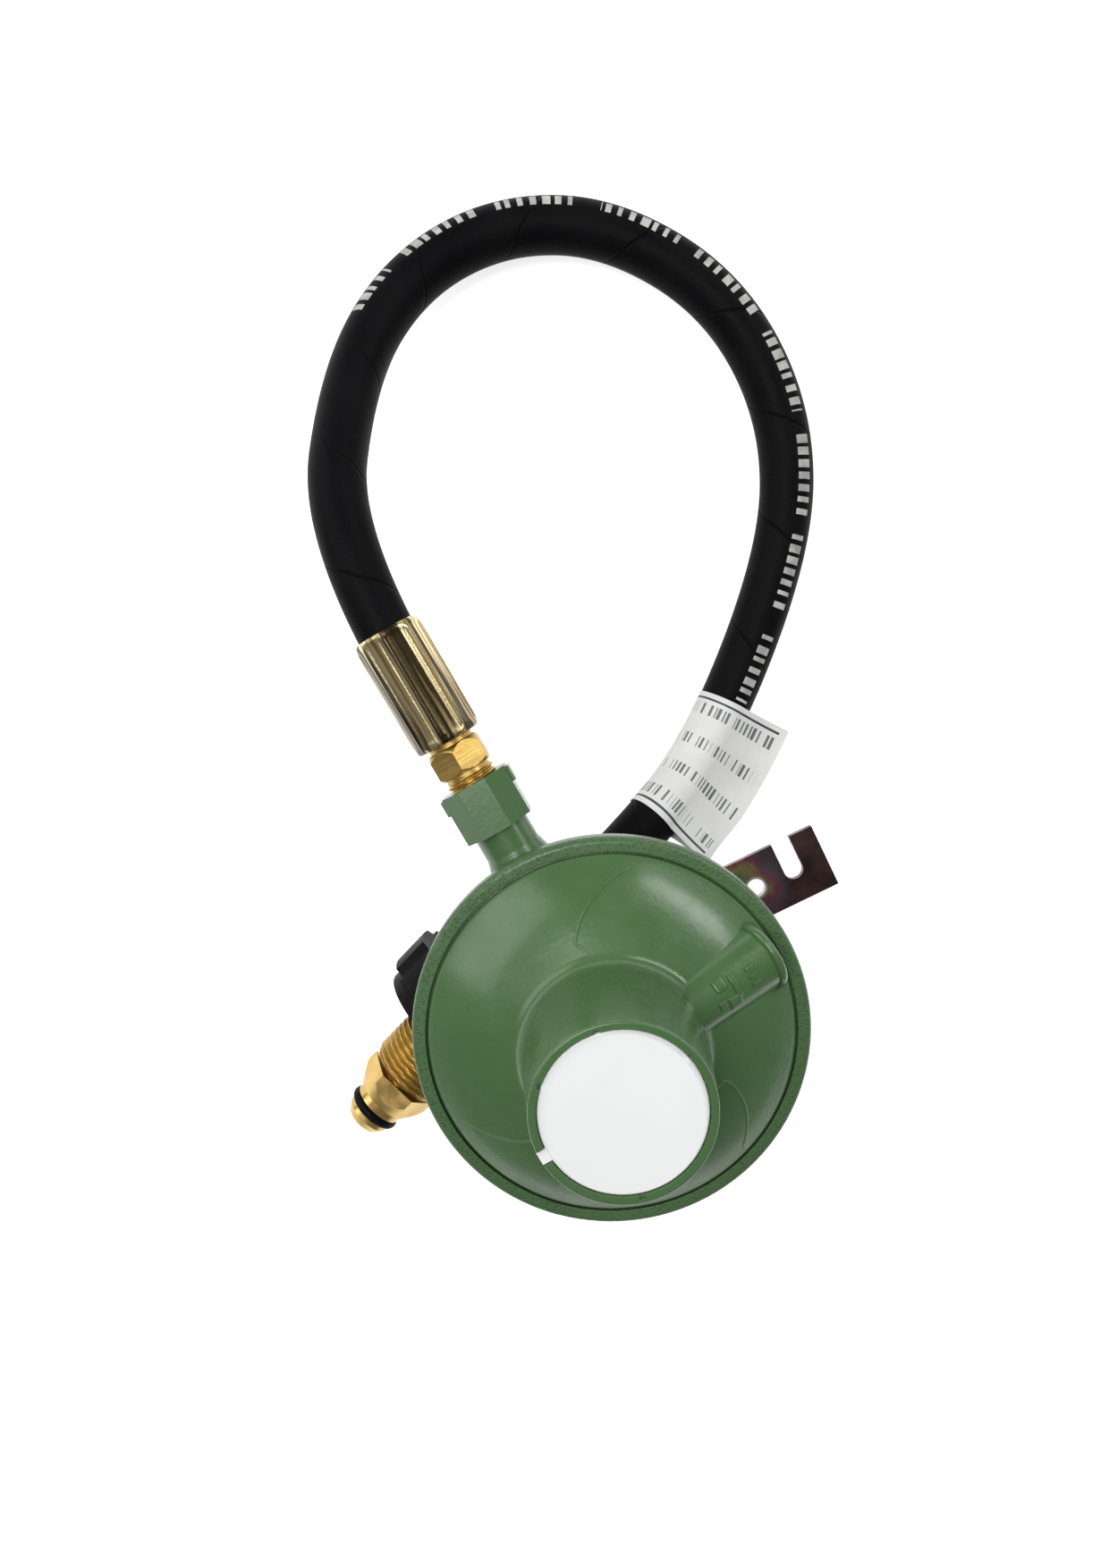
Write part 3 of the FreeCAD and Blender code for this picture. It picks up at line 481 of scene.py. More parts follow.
def hose_rubber():
    """Wrapped black cover: cloth skin, the wrap's slanting seam and a worn line of dashes."""
    material, tree, shader = new_material("black_rubber", specular_ior_level=0.045)
    place = object_place(tree)
    u, v, _ = split(tree, own_map(tree))
    turns = maths(tree, "ADD", maths(tree, "MULTIPLY", v, 3.1), u)
    seam_place = maths(tree, "ABSOLUTE", maths(tree, "SUBTRACT", maths(tree, "FRACT", turns), 0.5))
    seam = ramp(tree, seam_place, 0.004, 0.02, 1.0, 0.0)
    cloth = group(tree, "surface_grain", {"Vector": place, "Scale": 1500.0, "Coarse Share": 0.7})
    shade = group(
        tree,
        "patchy_tone",
        {
            "Vector": place,
            "Scale": 55.0,
            "First": colour(0.003, 0.003, 0.0037),
            "Second": colour(0.006, 0.006, 0.0068),
            "Contrast": 0.25,
        },
    )
    dark = blend(tree, seam, shade["Color"], colour(0.0015, 0.0015, 0.0015))
    print_mask = hose_dashes(tree, u, v, cloth["Mask"])
    base = blend(tree, print_mask, dark, colour(0.62, 0.62, 0.58))
    height = maths(tree, "SUBTRACT", cloth["Height"], maths(tree, "MULTIPLY", seam, 2.5))
    rough = ramp(tree, shade["Mask"], 0.0, 1.0, 0.42, 0.56)
    drive(tree, shader, base_color=base, roughness=rough, normal=bump(tree, height, 0.00009, 0.8))
    return material


DASHES_FROM_TO = (1.15, 3.7)


def hose_dashes(tree, u, v, wear):
    """A line of plain bars, each with its own width, in words with a gap between them."""
    cells = maths(tree, "MULTIPLY", v, 31.0)
    number = maths(tree, "FLOOR", cells)
    inside = maths(tree, "FRACT", cells)
    chance = add(tree, "TexWhiteNoise", {"W": number}, noise_dimensions="1D").outputs["Value"]
    width = ramp(tree, chance, 0.0, 1.0, 0.34, 0.76)
    stroke = maths(tree, "LESS_THAN", inside, width)
    words = maths(tree, "FRACT", maths(tree, "MULTIPLY", v, 3.7))
    word = maths(tree, "LESS_THAN", words, 0.8)
    first, last = DASHES_FROM_TO
    centre = ramp(tree, v, 1.2, 3.6, 0.125, 0.185)
    offset = maths(tree, "ABSOLUTE", maths(tree, "SUBTRACT", u, centre))
    row = maths(tree, "LESS_THAN", offset, 0.043)
    span = maths(tree, "MULTIPLY", maths(tree, "GREATER_THAN", v, first), maths(tree, "LESS_THAN", v, last))
    mask = maths(tree, "MULTIPLY", maths(tree, "MULTIPLY", stroke, word), maths(tree, "MULTIPLY", row, span))
    return maths(tree, "MULTIPLY", mask, ramp(tree, wear, 0.0, 1.0, 0.95, 0.6))


def label_film():
    """White film with a ruled border and four rows of plain grey bars."""
    material, tree, shader = new_material("label_film", specular_ior_level=0.35)
    place = object_place(tree)
    u, v, _ = split(tree, own_map(tree))
    row_place = maths(tree, "MULTIPLY", v, 4.0)
    in_row = maths(tree, "FRACT", row_place)
    row = maths(tree, "FLOOR", row_place)
    tall = maths(tree, "LESS_THAN", maths(tree, "ABSOLUTE", maths(tree, "SUBTRACT", in_row, 0.5)), 0.17)
    cell_place = maths(tree, "ADD", maths(tree, "MULTIPLY", u, 52.0), maths(tree, "MULTIPLY", row, 7.3))
    cell = maths(tree, "ADD", maths(tree, "FLOOR", cell_place), maths(tree, "MULTIPLY", row, 31.0))
    chance = add(tree, "TexWhiteNoise", {"W": cell}, noise_dimensions="1D").outputs["Value"]
    width = ramp(tree, chance, 0.12, 1.0, 0.0, 0.75)
    bar = maths(tree, "LESS_THAN", maths(tree, "FRACT", cell_place), width)
    inner = maths(tree, "MULTIPLY", maths(tree, "GREATER_THAN", u, 0.03), maths(tree, "LESS_THAN", u, 0.6))
    ends = maths(tree, "MULTIPLY", maths(tree, "GREATER_THAN", v, 0.06), maths(tree, "LESS_THAN", v, 0.94))
    bars = maths(tree, "MULTIPLY", maths(tree, "MULTIPLY", tall, bar), maths(tree, "MULTIPLY", inner, ends))
    first_rule = maths(tree, "COMPARE", v, 0.045, 0.008)
    last_rule = maths(tree, "COMPARE", v, 0.955, 0.008)
    rules = maths(tree, "MULTIPLY", maths(tree, "ADD", first_rule, last_rule), inner)
    ink = maths(tree, "ADD", maths(tree, "MULTIPLY", bars, 0.85), rules, clamp=True)
    tone = group(
        tree,
        "patchy_tone",
        {
            "Vector": place,
            "Scale": 80.0,
            "First": colour(0.84, 0.84, 0.82),
            "Second": colour(0.74, 0.74, 0.72),
            "Contrast": 0.2,
        },
    )
    base = blend(tree, ink, tone["Color"], colour(0.06, 0.06, 0.07))
    skin = group(tree, "surface_grain", {"Vector": place, "Scale": 500.0, "Coarse Share": 1.2})
    rough = ramp(tree, skin["Mask"], 0.0, 1.0, 0.38, 0.5)
    drive(tree, shader, base_color=base, roughness=rough, normal=bump(tree, skin["Height"], 0.00005, 0.5))
    return material


def turned_brass():
    """Machined brass of a turned piece: fine rings round it, and soft tarnish."""
    material, tree, shader = new_material("turned_brass", metallic=1.0)
    place = object_place(tree)
    rings = group(
        tree, "tool_streaks", {"Vector": own_map(tree), "Stretch": (0.3, 60.0, 0.0), "Scale": 7.0}
    )
    tone = group(
        tree,
        "patchy_tone",
        {
            "Vector": place,
            "Scale": 130.0,
            "First": colour(0.60, 0.42, 0.135),
            "Second": colour(0.42, 0.27, 0.07),
            "Contrast": 0.2,
        },
    )
    rough = ramp(tree, rings["Mask"], 0.0, 1.0, 0.34, 0.48)
    normal = bump(tree, rings["Height"], 0.00004, 0.5)
    drive(tree, shader, base_color=tone["Color"], roughness=rough, normal=normal)
    return material


def metal(name, first, second, scale, low, high, depth=0.00004):
    """Plated or cast metal: two tones in patches, with a fine skin."""
    material, tree, shader = new_material(name, metallic=1.0)
    place = object_place(tree)
    tone = group(
        tree,
        "patchy_tone",
        {"Vector": place, "Scale": scale, "First": first, "Second": second, "Contrast": 0.18},
    )
    skin = group(tree, "surface_grain", {"Vector": place, "Scale": 1300.0, "Coarse Share": 0.5})
    rough = ramp(tree, skin["Mask"], 0.0, 1.0, low, high)
    normal = bump(tree, skin["Height"], depth, 0.5)
    drive(tree, shader, base_color=tone["Color"], roughness=rough, normal=normal)
    return material


def zinc_yellow():
    """Yellow-passivated crimped sleeve: gold, olive and brown drawn out along it, with near-black bands
    painted along it as dark reflections between the facets' highlights.
    """
    material, tree, shader = new_material("zinc_yellow", metallic=1.0)
    place = object_place(tree)
    streaks = group(
        tree, "tool_streaks", {"Vector": own_map(tree), "Stretch": (46.0, 2.2, 0.0), "Scale": 1.0}
    )
    # Painted reflection: near-black bands along the sleeve stand for the dark surround mirrored in its
    # facets.
    reflection_band_streaks = group(
        tree, "tool_streaks", {"Vector": own_map(tree), "Stretch": (15.0, 1.2, 0.0), "Scale": 1.0}
    )
    gold = blend(tree, streaks["Mask"], colour(0.80, 0.67, 0.40), colour(0.25, 0.18, 0.06))
    painted_dark_reflection = ramp(tree, reflection_band_streaks["Mask"], 0.3, 0.62, 0.0, 0.93)
    gold_and_painted_reflection = blend(tree, painted_dark_reflection, gold, colour(0.025, 0.018, 0.010))
    skin = group(tree, "surface_grain", {"Vector": place, "Scale": 1200.0, "Coarse Share": 0.5})
    rough = ramp(tree, streaks["Mask"], 0.0, 1.0, 0.2, 0.36)
    height = maths(tree, "ADD", skin["Height"], streaks["Height"])
    drive(tree, shader, base_color=gold_and_painted_reflection, roughness=rough, normal=bump(tree, height, 0.00005, 0.6))
    return material


FILM_CENTRE = (0.0005, 0.0485, 0.0013)
BRACKET_HOLE = (0.0032, 0.0517, 0.0025)


def distance_from(tree, place, point):
    """How far a place in the frame is from a point."""
    away = add(tree, "Mapping", {"Vector": place, "Location": tuple(-part for part in point)})
    return add(tree, "VectorMath", {0: away.outputs[0]}, operation="LENGTH").outputs["Value"]


def bracket_zinc():
    """Dark plate: red-brown, with a rainbow film and a painted highlight round the edge of the round hole."""
    material, tree, shader = new_material("bracket_zinc", metallic=0.9)
    place = object_place(tree)
    reach = distance_from(tree, place, FILM_CENTRE)
    warp = add(tree, "TexNoise", {"Vector": place, "Scale": 170.0, "Detail": 3.0}).outputs[0]
    film = maths(tree, "ADD", maths(tree, "MULTIPLY", reach, 42.0), maths(tree, "MULTIPLY", warp, 0.9))
    tints = add(tree, "ValToRGB", {0: maths(tree, "FRACT", film)})
    stops = tints.color_ramp.elements
    stops[0].color = colour(0.20, 0.17, 0.23)
    stops[1].color = colour(0.20, 0.17, 0.23)
    for share, tint in (
        (0.2, colour(0.10, 0.17, 0.26)),
        (0.4, colour(0.13, 0.24, 0.13)),
        (0.6, colour(0.32, 0.26, 0.10)),
        (0.8, colour(0.30, 0.09, 0.14)),
    ):
        stops.new(share).color = tint
    dark = group(
        tree,
        "patchy_tone",
        {
            "Vector": place,
            "Scale": 120.0,
            "First": colour(0.085, 0.045, 0.038),
            "Second": colour(0.035, 0.02, 0.02),
            "Contrast": 0.2,
        },
    )
    near = ramp(tree, maths(tree, "ADD", reach, maths(tree, "MULTIPLY", warp, 0.008)), 0.008, 0.02, 1.0, 0.0)
    filmed = blend(tree, near, dark["Color"], tints.outputs[0])
    # Painted highlight: a pale ring round the hole's edge, where the edge would catch the light.
    painted_hole_highlight = ramp(tree, distance_from(tree, place, BRACKET_HOLE), 0.0030, 0.0036, 1.0, 0.0)
    base = blend(tree, painted_hole_highlight, filmed, colour(0.62, 0.60, 0.56))
    skin = group(tree, "surface_grain", {"Vector": place, "Scale": 900.0, "Coarse Share": 1.0})
    rough = ramp(tree, skin["Mask"], 0.0, 1.0, 0.22, 0.36)
    drive(tree, shader, base_color=base, roughness=rough, normal=bump(tree, skin["Height"], 0.00008, 0.6))
    return material


# ---- hose and what is crimped on it ----------------------------------------------------
def hose_line():
    """The hose's centreline: its NURBS spline read as points, spaced evenly by length."""
    curve = bpy.data.curves.new("hose_line", "CURVE")
    curve.dimensions = "3D"
    spline = curve.splines.new("NURBS")
    spline.points.add(len(HOSE_ROUTE) - 1)
    corners = np.column_stack([np.array(HOSE_ROUTE), np.ones(len(HOSE_ROUTE))])
    spline.points.foreach_set("co", corners.ravel())
    spline.order_u = 3
    spline.use_endpoint_u = True
    spline.resolution_u = 32
    item = bpy.data.objects.new("hose_line", curve)
    bpy.context.scene.collection.objects.link(item)
    mesh = bpy.data.meshes.new_from_object(item)
    points = np.empty(len(mesh.vertices) * 3)
    mesh.vertices.foreach_get("co", points)
    points = points.reshape(-1, 3)
    bpy.data.objects.remove(item)
    bpy.data.meshes.remove(mesh)
    bpy.data.curves.remove(curve)
    steps = np.linalg.norm(np.diff(points, axis=0), axis=1)
    reach = np.concatenate([[0], np.cumsum(steps)])
    even = np.linspace(0, reach[-1], 361)
    return np.stack([np.interp(even, reach, points[:, k]) for k in range(3)], axis=1), even


def line_frames(line):
    """For each point of a line that is never upright: its level outward side and its lift."""
    forward = np.gradient(line, axis=0)
    forward /= np.linalg.norm(forward, axis=1)[:, None]
    side = np.cross(UP, forward)
    side /= np.linalg.norm(side, axis=1)[:, None]
    return side, np.cross(forward, side)


def hose(line, reach, material):
    """A tube of one radius round the line, closed at both ends, which the sleeves hide."""
    side, lift = line_frames(line)
    rows = np.concatenate([[0], np.arange(len(line)), [len(line) - 1]])
    radius = np.full(len(rows), HOSE_RADIUS)
    radius[[0, -1]] = 0.0
    angle = around(64)
    across = radius[:, None] * np.cos(angle)
    rise = radius[:, None] * np.sin(angle)
    u = np.broadcast_to(angle / (2 * np.pi), across.shape)
    v = np.broadcast_to(reach[rows][:, None] * 10, across.shape)
    uvs = np.stack([u, v], axis=-1)
    mesh = swept("hose_tube", line[rows], side[rows], lift[rows], across, rise, uvs, 60)
    return piece("hose_tube", mesh, "regulator", material, ["hose"])


LABEL_POINT = np.array((-0.0425, 0.0590, 0.0115))
LABEL_BEFORE = 0.0140
LABEL_AFTER = 0.0265
LABEL_ROWS = 49
FLAG_REACH = 0.0202
FILM_THICKNESS = 0.00035


def read_along(places, reach, values):
    """Rows of a line's values read at other distances along it."""
    return np.stack([np.interp(places, reach, values[:, k]) for k in range(3)], axis=1)


def label(line, reach, material):
    """A film wrapped round the hose whose two ends meet in a flag on the outer side.

    Its section runs from the flag's tip along the flag's top, round the hose and back along
    the flag's underside. The flag lifts and curls at its lower corner.
    """
    side, lift = line_frames(line)
    middle = reach[np.argmin(np.linalg.norm(line - LABEL_POINT, axis=1))]
    places = np.linspace(middle - LABEL_BEFORE, middle + LABEL_AFTER, LABEL_ROWS)
    share = np.linspace(0, 1, LABEL_ROWS)
    centre = read_along(places, reach, line)
    out = read_along(places, reach, side)
    over = read_along(places, reach, lift)
    wrap_radius = HOSE_RADIUS + 0.0003
    flag_top = np.linspace(0, 1, 21)[:-1]
    round_hose = np.radians(np.linspace(52, 352, 61))
    tip = FLAG_REACH - 0.0010 * smooth(0.6, 1.0, share)
    leave_x = wrap_radius * np.cos(round_hose[0])
    leave_z = wrap_radius * np.sin(round_hose[0])
    back_x = wrap_radius * np.cos(round_hose[-1])
    back_z = wrap_radius * np.sin(round_hose[-1])
    tip_z = 0.0012 + 0.0042 * smooth(0.66, 1.0, share) ** 2
    top_x = tip[:, None] + (leave_x - tip[:, None]) * flag_top
    sag = 0.0006 * np.sin(np.pi * flag_top)
    top_z = tip_z[:, None] + (leave_z - tip_z[:, None]) * flag_top**1.4 - sag
    under_x = back_x + (tip[:, None] - back_x) * (1 - flag_top[::-1])
    under_z = back_z + (tip_z[:, None] - FILM_THICKNESS - back_z) * (1 - flag_top[::-1]) ** 0.7
    ring_shape = (LABEL_ROWS, len(round_hose))
    ring_x = np.broadcast_to(wrap_radius * np.cos(round_hose), ring_shape)
    ring_z = np.broadcast_to(wrap_radius * np.sin(round_hose), ring_shape)
    across = np.concatenate([top_x, ring_x, under_x[:, 1:], top_x[:, :1]], axis=1)
    rise = np.concatenate([top_z, ring_z, under_z[:, 1:], top_z[:, :1]], axis=1)
    u = np.broadcast_to(np.linspace(0, 1, across.shape[1]), across.shape)
    v = np.broadcast_to(share[:, None], across.shape)
    mesh = swept("hose_label_film", centre, out, over, across, rise, np.stack([u, v], axis=-1), 50)
    return piece("hose_label_film", mesh, "regulator", material, ["hose_label"])


def crimped_sleeve(name, point, axis, node, material):
    """A sleeve crimped by eight dies: flats with a narrow ridge between each two.

    Outer radius = flats of 17 mm, held to 8.85 mm at the corners, plus a ridge that falls
    off with the angle from the corner, less a groove beside it. All fade into the round ends.
    """
    columns = 256
    along, radius = outline(
        [
            (0, 3.95), (0, 7.9), (0.25, 8.5), (0.8, 8.8), (1.6, 8.85), (2.6, 8.85),
            (8.8, 8.85), (16, 8.85), (23.2, 8.85), (29.4, 8.85), (30.4, 8.85), (31.2, 8.8),
            (31.75, 8.5), (32, 8.1), (32, 7.55), (24, 7.55), (16, 7.55), (1.8, 7.55),
            (1.8, 3.95), (0, 3.95),
        ],
        columns,
        3,
    )
    angle = around(columns)
    step = 2 * np.pi / 8
    from_corner = np.abs((angle + step / 2) % step - step / 2)
    ridge = 0.00034 * np.exp(-((from_corner / math.radians(4.2)) ** 2))
    groove = 0.00016 * np.exp(-(((from_corner - math.radians(9.5)) / math.radians(2.4)) ** 2))
    crimped = np.minimum(flats(angle, 8, 0.0170), 0.00885) + ridge - groove
    outer = radius[:, 0] > 0.0084
    grip = smooth(0.0008, 0.0030, along) * smooth(0.0312, 0.0292, along) * outer
    radius = radius + (crimped[None, :] - radius) * grip[:, None]
    mesh = lathe(name, point, axis, along, radius, 50)
    return piece(name, mesh, "regulator", material, [node])


# ---- brass fittings --------------------------------------------------------------------
PIPE_PITCH = 0.00141
CYLINDER_PITCH = 25.4 / 14 * MM


def inlet_fitting(material):
    """Brass stem: taper pipe thread, neck, chamfered hexagon, neck and tail, with its bore."""
    columns = 144
    corners = [
        (57.7, 2.0), (57.7, 6.1), (58.4, 6.5), (72.3, 6.7), (72.7, 6.0), (73.4, 6.0),
        (73.4, 6.6), (81.0, 6.6), (81.0, 6.0), (82.15, 6.0), (82.15, 3.9), (109.4, 3.9),
        (109.4, 2.0), (57.7, 2.0),
    ]
    along, radius = outline(corners, columns, 1)
    fine = np.arange(58.4, 72.3, 0.12) * MM
    hexagon = np.linspace(73.4, 81.0, 39) * MM
    angle = around(columns)
    threads = thread(fine[:, None], angle[None, :], 0.00672, 0.00075, PIPE_PITCH, 1)
    chamfer = np.minimum(0.0066 + (hexagon - 0.0734) * 1.3, 0.00662 + (0.0810 - hexagon) * 0.75)
    faces = np.minimum(flats(angle, 6, 0.0136, math.radians(30))[None, :], chamfer[:, None])
    along = np.concatenate([along[:2], fine, along[4:6], hexagon, along[8:]])
    radius = np.concatenate([radius[:2], threads, radius[4:6], faces, radius[8:]])
    mesh = lathe("inlet_fitting", INLET_POINT, INLET_AXIS, along, radius, 30)
    return piece("inlet_fitting", mesh, "regulator", material, ["inlet_stem"])


def cylinder_nut(material):
    """Nut with a left-hand thread of 14 turns to the inch, an undercut and a drive hexagon."""
    columns = 144
    angle = around(columns)
    front = np.array([(13.0, 6.08), (13.0, 9.6), (13.5, 10.3)]) * MM
    turns = np.arange(13.5, 28.0, 0.1) * MM
    threads = thread(turns[:, None], angle[None, :], 0.01145, 0.00116, CYLINDER_PITCH, -1)
    lead_in = 0.0103 + (turns - 0.0135) * 1.1
    run_out = 0.0103 + (0.0280 - turns) * 1.1
    threads = np.minimum(threads, np.minimum(lead_in, run_out)[:, None])
    back = np.array([(28.0, 10.3), (31.85, 10.3)]) * MM
    drive_hexagon = np.array([31.9, 46.7]) * MM
    rear = np.array([(46.7, 6.08), (30.0, 6.08), (13.0, 6.08)]) * MM
    along = np.concatenate([front[:, 0], turns, back[:, 0], drive_hexagon, rear[:, 0]])
    radius = np.concatenate(
        [
            np.repeat(front[:, 1:], columns + 1, axis=1),
            threads,
            np.repeat(back[:, 1:], columns + 1, axis=1),
            np.repeat(flats(angle, 6, 0.01995, math.radians(30))[None, :], 2, axis=0),
            np.repeat(rear[:, 1:], columns + 1, axis=1),
        ]
    )
    mesh = lathe("cylinder_nut", CONNECTOR_POINT, CONNECTOR_AXIS, along, radius, 28)
    return piece("cylinder_nut", mesh, "connector_nut", material, ["pol_nut"])


# ---- marks on the bonnet ---------------------------------------------------------------
BONNET_PROFILE = ((0.0222, 0.0795), (0.0375, 0.0729), (0.0454, 0.0664))
CROWN_HALF_WIDTH = 0.0081
RIB_STARTS = (143.5, 266.0, 18.4)
RIB_LEAN_OUT = 0.492
RIB_LEAN_UP = 0.871


def bonnet_height(reach):
    """Height of the bonnet at a distance from the axis.

    Two straight falls that meet at the crown, less a parabola that rounds them off:
    change of fall * (half width - distance from the crown) ^ 2 / (4 * half width).
    """
    foot, crown, edge = BONNET_PROFILE
    straight = np.interp(reach, [foot[0], crown[0], edge[0]], [foot[1], crown[1], edge[1]])
    inner_fall = (foot[1] - crown[1]) / (crown[0] - foot[0])
    outer_fall = (crown[1] - edge[1]) / (edge[0] - crown[0])
    near = np.clip(CROWN_HALF_WIDTH - np.abs(reach - crown[0]), 0, None)
    return straight - (outer_fall - inner_fall) * near**2 / (4 * CROWN_HALF_WIDTH)


def bonnet_steps(material):
    """Three low ribs that curl from the bonnet's edge to the foot of its tower.

    Angle = start + 27.5 degrees * (1 - (1 - share) ^ 1.6), turning back a little at the
    foot, where share runs from 0 at the edge to 1. The section is a flat ellipse.
    """
    share = np.linspace(0, 1, 61)
    reach = 0.0432 + (0.0246 - 0.0432) * share
    curl = np.radians(27.5 * (1 - (1 - share) ** 1.6) - 7.0 * smooth(0.82, 1.0, share))
    thin = np.sqrt(np.clip(np.minimum(share, 1 - share) * 14, 0, 1))
    angle = around(16)
    parts = []
    for start in RIB_STARTS:
        turn = math.radians(start) + curl
        line = np.stack([reach * np.cos(turn), reach * np.sin(turn), bonnet_height(reach)], axis=1)
        forward = np.gradient(line, axis=0)
        forward /= np.linalg.norm(forward, axis=1)[:, None]
        outward = np.stack([np.cos(turn), np.sin(turn), np.zeros_like(turn)], axis=1)
        normal = outward * RIB_LEAN_OUT + UP * RIB_LEAN_UP
        side = np.cross(normal, forward)
        across = 0.00042 * thin[:, None] * np.cos(angle)
        rise = 0.00026 * thin[:, None] * np.sin(angle)
        parts.append(swept("step", line, side, normal, across, rise, None, 60))
    mesh = joined("bonnet_steps", parts, 60)
    return piece("bonnet_steps", mesh, "regulator", material)


HORN_ROOT = np.array((0.0, 0.019, 0.0764))
HORN_SLOPE = math.radians(22.0)
HORN_AXIS = np.array((0.0, math.cos(HORN_SLOPE), -math.sin(HORN_SLOPE)))
HORN_SIDE = np.array((1.0, 0.0, 0.0))
HORN_LIFT = np.array((0.0, math.sin(HORN_SLOPE), math.cos(HORN_SLOPE)))
HORN_LENGTH = 0.025
HORN_LIP_PLACE = 0.0238


def horn_radius(along):
    """Radius of the vent horn at a distance along it."""
    return 0.0074 + (0.0086 - 0.0074) * along / HORN_LENGTH


def horn_lip(material):
    """A half-round bead over the horn's outer end: a circle carried round an arc."""
    turn = np.radians(np.linspace(-6, 186, 65))
    outward = HORN_SIDE * np.cos(turn)[:, None] + HORN_LIFT * np.sin(turn)[:, None]
    radius = horn_radius(HORN_LIP_PLACE) + 0.0001
    line = HORN_ROOT + HORN_AXIS * HORN_LIP_PLACE + outward * radius
    axis = np.broadcast_to(HORN_AXIS, line.shape)
    angle = around(20)
    size = np.ones(len(line))
    size[[0, -1]] = 0.0
    across = size[:, None] * 0.00105 * np.cos(angle)
    rise = size[:, None] * 0.00085 * np.sin(angle)
    mesh = swept("horn_lip", line, axis, outward, across, rise, None, 60)
    return piece("horn_lip", mesh, "regulator", material)


def horn_marks(material):
    """Small raised pads on the horn: rounded squares whose height falls off at the edge.

    Each pad's height = rise * (1 - max(|u|, |v|) ^ 6), laid on the horn's round top.
    """
    pads = [  # distance along the horn, turn in degrees, half length, half width
        (0.0082, -20.0, 0.0017, 0.0018), (0.0066, 14.0, 0.0011, 0.0010),
        (0.0116, -3.0, 0.0009, 0.0034), (0.0100, 22.0, 0.0019, 0.0017),
        (0.0166, -14.0, 0.0013, 0.0006), (0.0166, 0.0, 0.0013, 0.0006),
        (0.0166, 14.0, 0.0013, 0.0006),
    ]
    grid = np.linspace(-1, 1, 17)
    u, v = np.meshgrid(grid, grid, indexing="ij")
    edge = np.maximum(np.abs(u), np.abs(v))
    rise = 0.00068 * (1 - edge**8) - 0.00012
    parts = []
    for along, turn_degrees, half_length, half_width in pads:
        place = along + u * half_length
        base = horn_radius(place)
        turn = math.radians(turn_degrees) + v * half_width / base
        reach = (base + rise)[:, :, None]
        spoke = HORN_SIDE * np.sin(turn)[:, :, None] + HORN_LIFT * np.cos(turn)[:, :, None]
        points = HORN_ROOT + HORN_AXIS * place[:, :, None] + spoke * reach
        under = HORN_ROOT + HORN_AXIS * place[:, :, None] + spoke * (base - 0.0004)[:, :, None]
        top_sheet = surface("pad_top", points)
        rim = np.concatenate([points[0], points[1:, -1], points[-1, -2::-1], points[-2::-1, 0]])
        rim_under = np.concatenate([under[0], under[1:, -1], under[-1, -2::-1], under[-2::-1, 0]])
        wall = surface("pad_wall", np.stack([rim, rim_under]))
        floor_sheet = surface("pad_floor", under)
        parts.append(joined("pad", [top_sheet, wall, floor_sheet]))
    mesh = joined("horn_marks", parts, 45)
    return piece("horn_marks", mesh, "regulator", material)


# ---- materials of the frame's own nodes -----------------------------------------------
def dress_nodes(nodes, finishes):
    """Gives each node that stays the finish of its slot."""
    for finish, names in finishes.items():
        for name in names:
            mesh = nodes[name].data
            if not mesh.materials:
                mesh.materials.append(finish)
            for index in range(len(mesh.materials)):
                mesh.materials[index] = finish


# ---- floor, light and camera -----------------------------------------------------------
def seen_directly(tree):
    """1 for rays from the camera and for reflected or refracted rays."""
    path = add(tree, "LightPath").outputs
    mirrored = maths(tree, "MAXIMUM", path["Is Glossy Ray"], path["Is Transmission Ray"])
    return maths(tree, "MAXIMUM", path["Is Camera Ray"], mirrored)


FLOOR_HALF_WIDTH = 3.0
FLOOR_DROP = 0.0003


def floor():
    """A plain pale floor that keeps the object's shadow."""
    mesh = bpy.data.meshes.new("floor")
    half = FLOOR_HALF_WIDTH
    corners = [(-half, -half, 0), (half, -half, 0), (half, half, 0), (-half, half, 0)]
    mesh.from_pydata(corners, [], [(0, 1, 2, 3)])
    item = bpy.data.objects.new("floor", mesh)
    bpy.context.scene.collection.objects.link(item)
    item.location.z = -FLOOR_DROP
    material, tree, shader = new_material("pale_floor", roughness=0.9)
    shader.inputs["Base Color"].default_value = colour(0.8, 0.8, 0.8)
    shader.inputs["Specular IOR Level"].default_value = 0.0
    shader.inputs["Emission Color"].default_value = colour(1, 1, 1)
    glow = maths(tree, "MULTIPLY", seen_directly(tree), 0.8)
    tree.links.new(glow, shader.inputs["Emission Strength"])
    mesh.materials.append(material)


def world():
    """A white surround where it is seen, and a level grey light on everything else."""
    surround = bpy.data.worlds.new("surround")
    bpy.context.scene.world = surround
    surround.use_nodes = True
    tree = surround.node_tree
    tree.nodes.clear()
    soft = add(tree, "Background", {"Color": colour(0.95, 0.97, 1.0), "Strength": 0.13})
    seen = add(tree, "Background", {"Color": colour(1, 1, 1), "Strength": 1.0})
    path = add(tree, "LightPath").outputs
    mirrored = maths(tree, "MULTIPLY", path["Is Glossy Ray"], 0.16)
    share = maths(tree, "MAXIMUM", path["Is Camera Ray"], mirrored)
    mix = add(tree, "MixShader", {0: share, 1: soft.outputs[0], 2: seen.outputs[0]})
    out = add(tree, "OutputWorld")
    tree.links.new(mix.outputs[0], out.inputs[0])


def lamp(name, place, width, depth, power, target=(0.0, 0.0, 0.05)):
    """A flat soft lamp at a place, turned to the object; its width is level."""
    data = bpy.data.lights.new(name, "AREA")
    data.shape = "RECTANGLE"
    data.size = width
    data.size_y = depth
    data.energy = power
    item = bpy.data.objects.new(name, data)
    bpy.context.scene.collection.objects.link(item)
    item.location = place
    item.rotation_euler = (Vector(target) - Vector(place)).to_track_quat("-Z", "Y").to_euler()


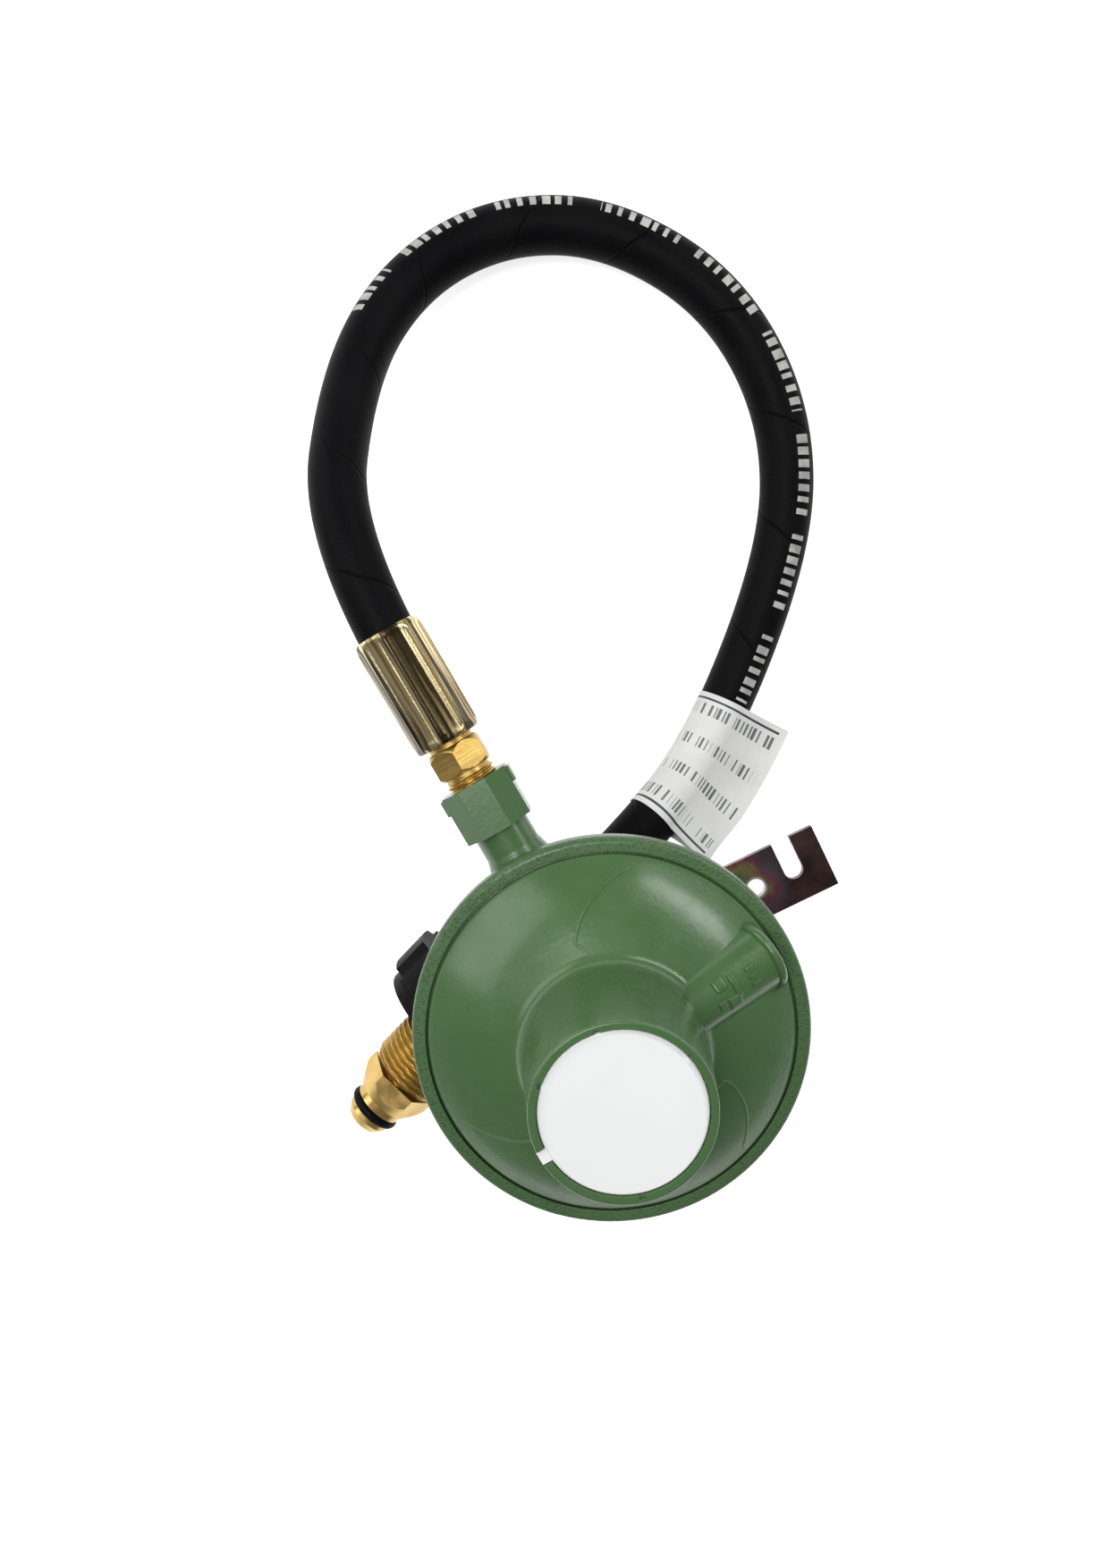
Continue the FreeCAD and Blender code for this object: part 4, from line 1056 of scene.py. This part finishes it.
def lamps():
    """A strip over the bracket's side, a top lamp and a broad lamp over the inlet's side."""
    lamp("key_lamp", (-0.27, 0.82, 0.60), 0.80, 0.15, 3.6)
    lamp("top_lamp", (-0.30, -0.10, 1.10), 0.50, 0.50, 6.2)
    lamp("side_lamp", (-0.88, -0.50, 0.62), 1.00, 0.60, 4.6)


CAMERA_PLACE = (-0.08976, 0.03549, 0.336)
CAMERA_RIGHT = Vector((0.5, 0.8660, 0.0))
CAMERA_BACK = Vector((-0.1055, 0.0609, 0.9925))


def camera():
    """A look almost straight down, from above the hose's loop."""
    data = bpy.data.cameras.new("camera")
    data.lens = 26.0
    data.sensor_width = 36.0
    data.clip_start = 0.01
    item = bpy.data.objects.new("camera", data)
    bpy.context.scene.collection.objects.link(item)
    right = CAMERA_RIGHT.normalized()
    back = CAMERA_BACK.normalized()
    turn = Matrix((right, back.cross(right), back)).transposed().to_4x4()
    item.matrix_world = Matrix.Translation(CAMERA_PLACE) @ turn
    bpy.context.scene.camera = item


def main():
    """Builds the whole scene."""
    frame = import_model()
    camera()
    nodes = frame["nodes"]
    for build_group in (grain_group, patch_group, streak_group, speck_group):
        build_group()
    line, reach = hose_line()
    tube = hose(line, reach, hose_rubber())
    film = label(line, reach, label_film())
    zinc = zinc_yellow()
    brass = turned_brass()
    paint = green_paint()
    crimped_sleeve(
        "inlet_sleeve", INLET_POINT + INLET_AXIS * 0.0822, INLET_AXIS, "inlet_ferrule", zinc
    )
    rear_sleeve = crimped_sleeve(
        "cylinder_sleeve", CONNECTOR_POINT + CONNECTOR_AXIS * 0.051, CONNECTOR_AXIS,
        "cylinder_ferrule", zinc,
    )
    inlet_fitting(brass)
    nut = cylinder_nut(brass)
    bonnet_steps(paint)
    horn_lip(paint)
    horn_marks(paint)
    steel = metal("plated_steel", colour(0.62, 0.62, 0.6), colour(0.5, 0.5, 0.48), 90.0, 0.24, 0.36)
    spring = metal("spring_steel", colour(0.5, 0.5, 0.48), colour(0.38, 0.38, 0.37), 160.0, 0.28, 0.4)
    casting = metal("zinc_casting", colour(0.5, 0.5, 0.51), colour(0.4, 0.4, 0.41), 70.0, 0.4, 0.55)
    plain_brass = metal("plain_brass", colour(0.64, 0.44, 0.15), colour(0.52, 0.34, 0.1), 110.0, 0.22, 0.36)
    bronze = metal("filter_mesh", colour(0.36, 0.24, 0.1), colour(0.2, 0.13, 0.05), 2200.0, 0.5, 0.7, 0.0002)
    black = colour(0.005, 0.005, 0.0055)
    dusty = colour(0.011, 0.011, 0.0115)
    seal = rubber("seal_rubber", black, dusty, 1400.0, 0.32, 0.45)
    sheet = rubber("diaphragm_rubber", colour(0.02, 0.02, 0.021), colour(0.03, 0.03, 0.031), 900.0, 0.5, 0.65)
    plastic = rubber("black_plastic", black, dusty, 1100.0, 0.36, 0.5)
    dress_nodes(
        nodes,
        {
            paint: ["bonnet"],
            rim_paint(): ["lower_casing"],
            white_cap(): ["tower_cap"],
            steel: [
                "vent_screen", "spring_top_seat", "diaphragm_plate", "diaphragm_washer", "relief_nut",
                "lever", "lever_pin", "bracket_screws",
            ],
            spring: ["main_spring", "relief_spring", "retaining_ring"],
            casting: ["adjusting_nut", "diaphragm_stem"],
            plain_brass: ["valve_poppet", "valve_orifice", "pol_nipple"],
            bronze: ["inlet_filter"],
            seal: ["cap_seal", "valve_disc", "nose_o_ring"],
            sheet: ["diaphragm"],
            plastic: ["handwheel"],
            bracket_zinc(): ["mounting_bracket"],
        },
    )
    floor()
    world()
    lamps()
    bpy.context.scene.view_settings.view_transform = "Standard"


main()
